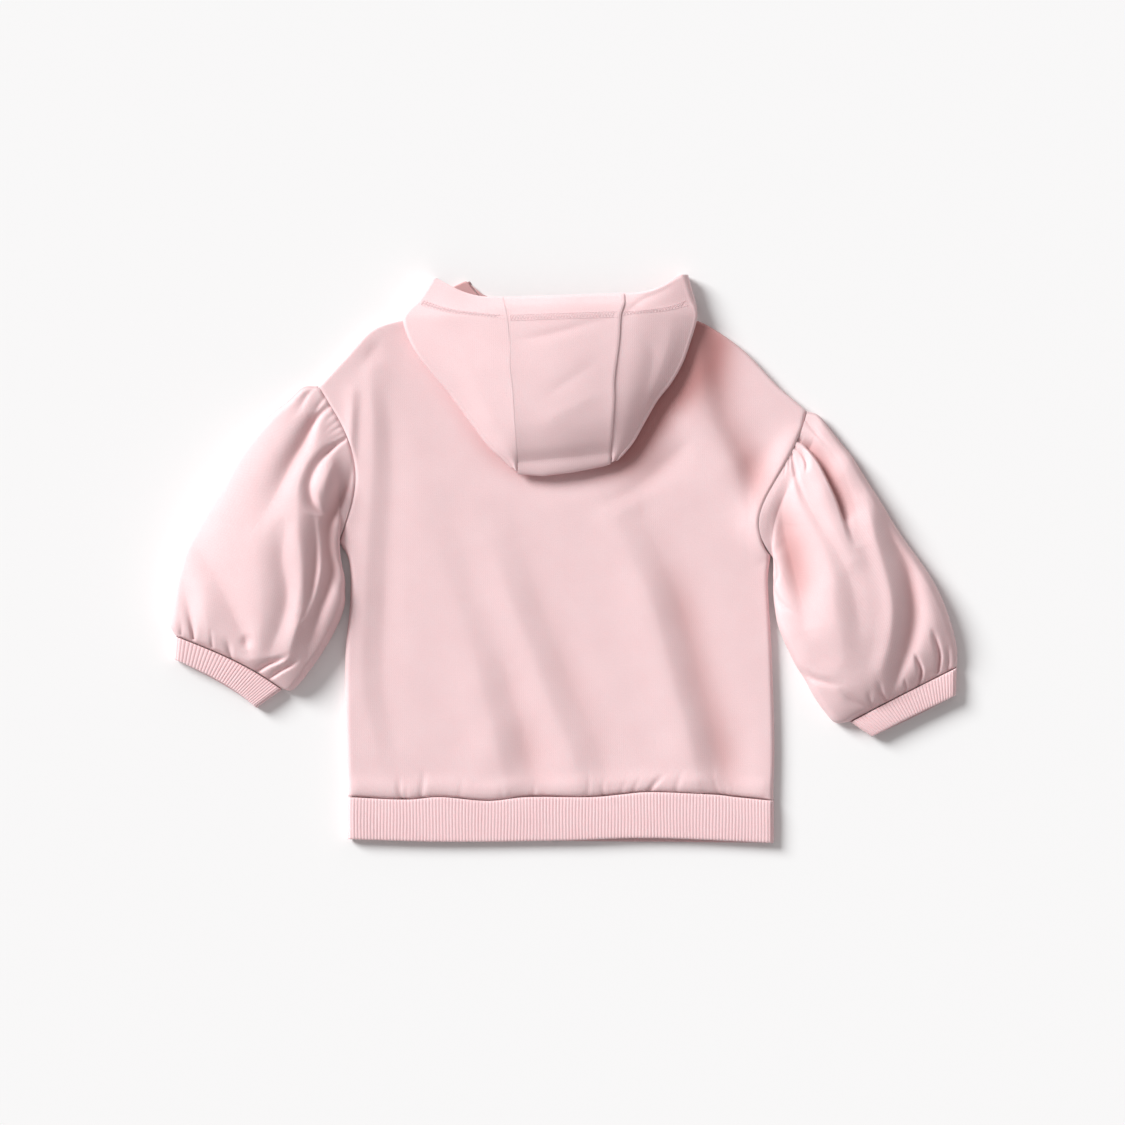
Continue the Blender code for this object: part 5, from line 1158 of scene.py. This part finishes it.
def makeHardware(name, slabs, edge):  # slabs in one mesh, every hard edge rounded off
    points, faces, start = [], [], 0
    for part, polygons in slabs:
        points.append(part)
        faces += [[start + corner for corner in polygon] for polygon in polygons]
        start += len(part)
    piece = makeMesh(name, np.vstack(points), faces)
    rounding = piece.modifiers.new("edges", "BEVEL")
    rounding.width = edge * mm
    rounding.segments = 3
    rounding.limit_method = "ANGLE"
    rounding.angle_limit = math.radians(50)
    piece.data.materials.append(satinNickel)
    return piece


zipX, hingeY = zipper["x"], zipper["sliderY"]


def block(halfWide, fromY, toY, low, high):  # a box on the zip's line, lengths from the hinge
    x0, x1, y0, y1 = zipX - halfWide, zipX + halfWide, hingeY + fromY, hingeY + toY
    return slab([(x0, y0), (x1, y0), (x1, y1), (x0, y1)], low, high)


def shield():  # a slider's plate: broad shoulders where the zip parts, a narrower tail
    turn = np.linspace(0, 2 * math.pi, 41)[:-1]
    x, y = (np.sign(part) * np.abs(part) ** 0.5 for part in (np.cos(turn), np.sin(turn)))
    narrow = 0.86 + 0.14 * (y + 1) / 2
    return np.column_stack([zipX + x * narrow * zipper["sliderWidth"] / 2,
                            hingeY + y * zipper["sliderLength"] / 2])


slider = makeHardware("zipSlider", [
    slab(shield(), 2.7, 3.7),
    block(0.7, 3.5, 5.3, 3.5, 8.4),                  # the post between its two plates
    slab(shield(), 8.2, 8.9),
    block(1, -2.5, -1.5, 0.15, 2.9),                 # the bail's two legs and its bar
    block(1, 1.5, 2.5, 0.15, 2.9),
    block(1, -2.2, 2.2, 0.15, 1.0),
], 0.22)
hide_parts("zip_slider")
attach(slider, "garment")

tabHalf, eyeHalf = zipper["tabWidth"] / 2, zipper["eyeWidth"] / 2
eyeY = hingeY - zipper["eyeLength"] / 2 + 0.4


def fromEye(halfWide, y0, y1, turn):  # where rays from the eye's middle meet a box round it
    c, s = np.cos(turn), np.sin(turn)
    reachX = halfWide / np.maximum(np.abs(c), 1e-6)
    reachY = np.where(s > 0, y1 - eyeY, eyeY - y0) / np.maximum(np.abs(s), 1e-6)
    reach = np.minimum(reachX, reachY)
    return np.column_stack([zipX + reach * c, eyeY + reach * s])


tabTop, tabTip = hingeY + zipper["tabAbove"], hingeY - zipper["tabLength"]
corners = [math.atan2(y - eyeY, x) for x in (-tabHalf, tabHalf) for y in (tabTop, tabTip)]
turn = np.sort(np.concatenate([np.linspace(-math.pi, math.pi, 49)[:-1], corners]))
outer = fromEye(tabHalf, tabTip, tabTop, turn)
window = fromEye(eyeHalf, hingeY - zipper["eyeLength"], hingeY - 0.5, turn)
tabLow, tabHigh = zipper["hingeZ"] - zipper["tabThick"] / 2, zipper["hingeZ"] + zipper["tabThick"] / 2
pull = makeHardware("zipPull", [slab(outer, tabLow, tabHigh, window)], 0.28)
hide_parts("zip_pull")
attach(pull, "pull_tab")
print("zip made")

studio = {
    "floor": "#F4F4F4", "floorHalf": 6, "floorDrop": 0.0003,
    "world": "#FFF9F9", "worldStrength": 0.385,
    "key": "#FDFFFF", "keyFrom": (-1.42, 1.0, 1.0), "keySpread": 26, "keyPower": 4.22,
    "lens": 240,                # a field 900 mm wide from 6 m up: the photograph's own width
    "cameraPlace": (-0.0004, -0.0028, 6.0),
}


def makeFloor():  # matt paper, a hair below the cloth, in metres
    half, drop = studio["floorHalf"], -studio["floorDrop"]
    mesh = bpy.data.meshes.new("floor")
    mesh.from_pydata([(-half, -half, drop), (half, -half, drop), (half, half, drop), (-half, half, drop)],
                     [], [(0, 1, 2, 3)])
    material, tree = newMaterial("paperFloor")
    addShader(tree, {"Base Color": linear(studio["floor"]), "Roughness": 0.9, "Specular IOR Level": 0.1})
    mesh.materials.append(material)
    placeObject("floor", mesh)


def makeLight():  # one broad, even light from the upper left
    light = bpy.data.lights.new("key", "SUN")
    light.angle = math.radians(studio["keySpread"])
    light.energy = studio["keyPower"]
    light.color = linear(studio["key"])[:3]
    lamp = placeObject("key", light)
    x, y, z = lamp.location = studio["keyFrom"]
    lamp.rotation_euler = (math.atan2(math.hypot(x, y), z), 0, math.atan2(y, x) + math.pi / 2)


makeFloor()
makeLight()
world = bpy.data.worlds.new("studio")
world.use_nodes = True
background = world.node_tree.nodes["Background"].inputs
background["Color"].default_value = linear(studio["world"])
background["Strength"].default_value = studio["worldStrength"]
bpy.context.scene.world = world
bpy.context.scene.view_settings.view_transform = "Standard"

camera = bpy.data.cameras.new("overhead")
camera.sensor_width = 36
camera.lens = studio["lens"]
camera.clip_end = 50
overhead = placeObject("overhead", camera)
overhead.location = studio["cameraPlace"]
bpy.context.scene.camera = overhead
print("stage, light and camera made")
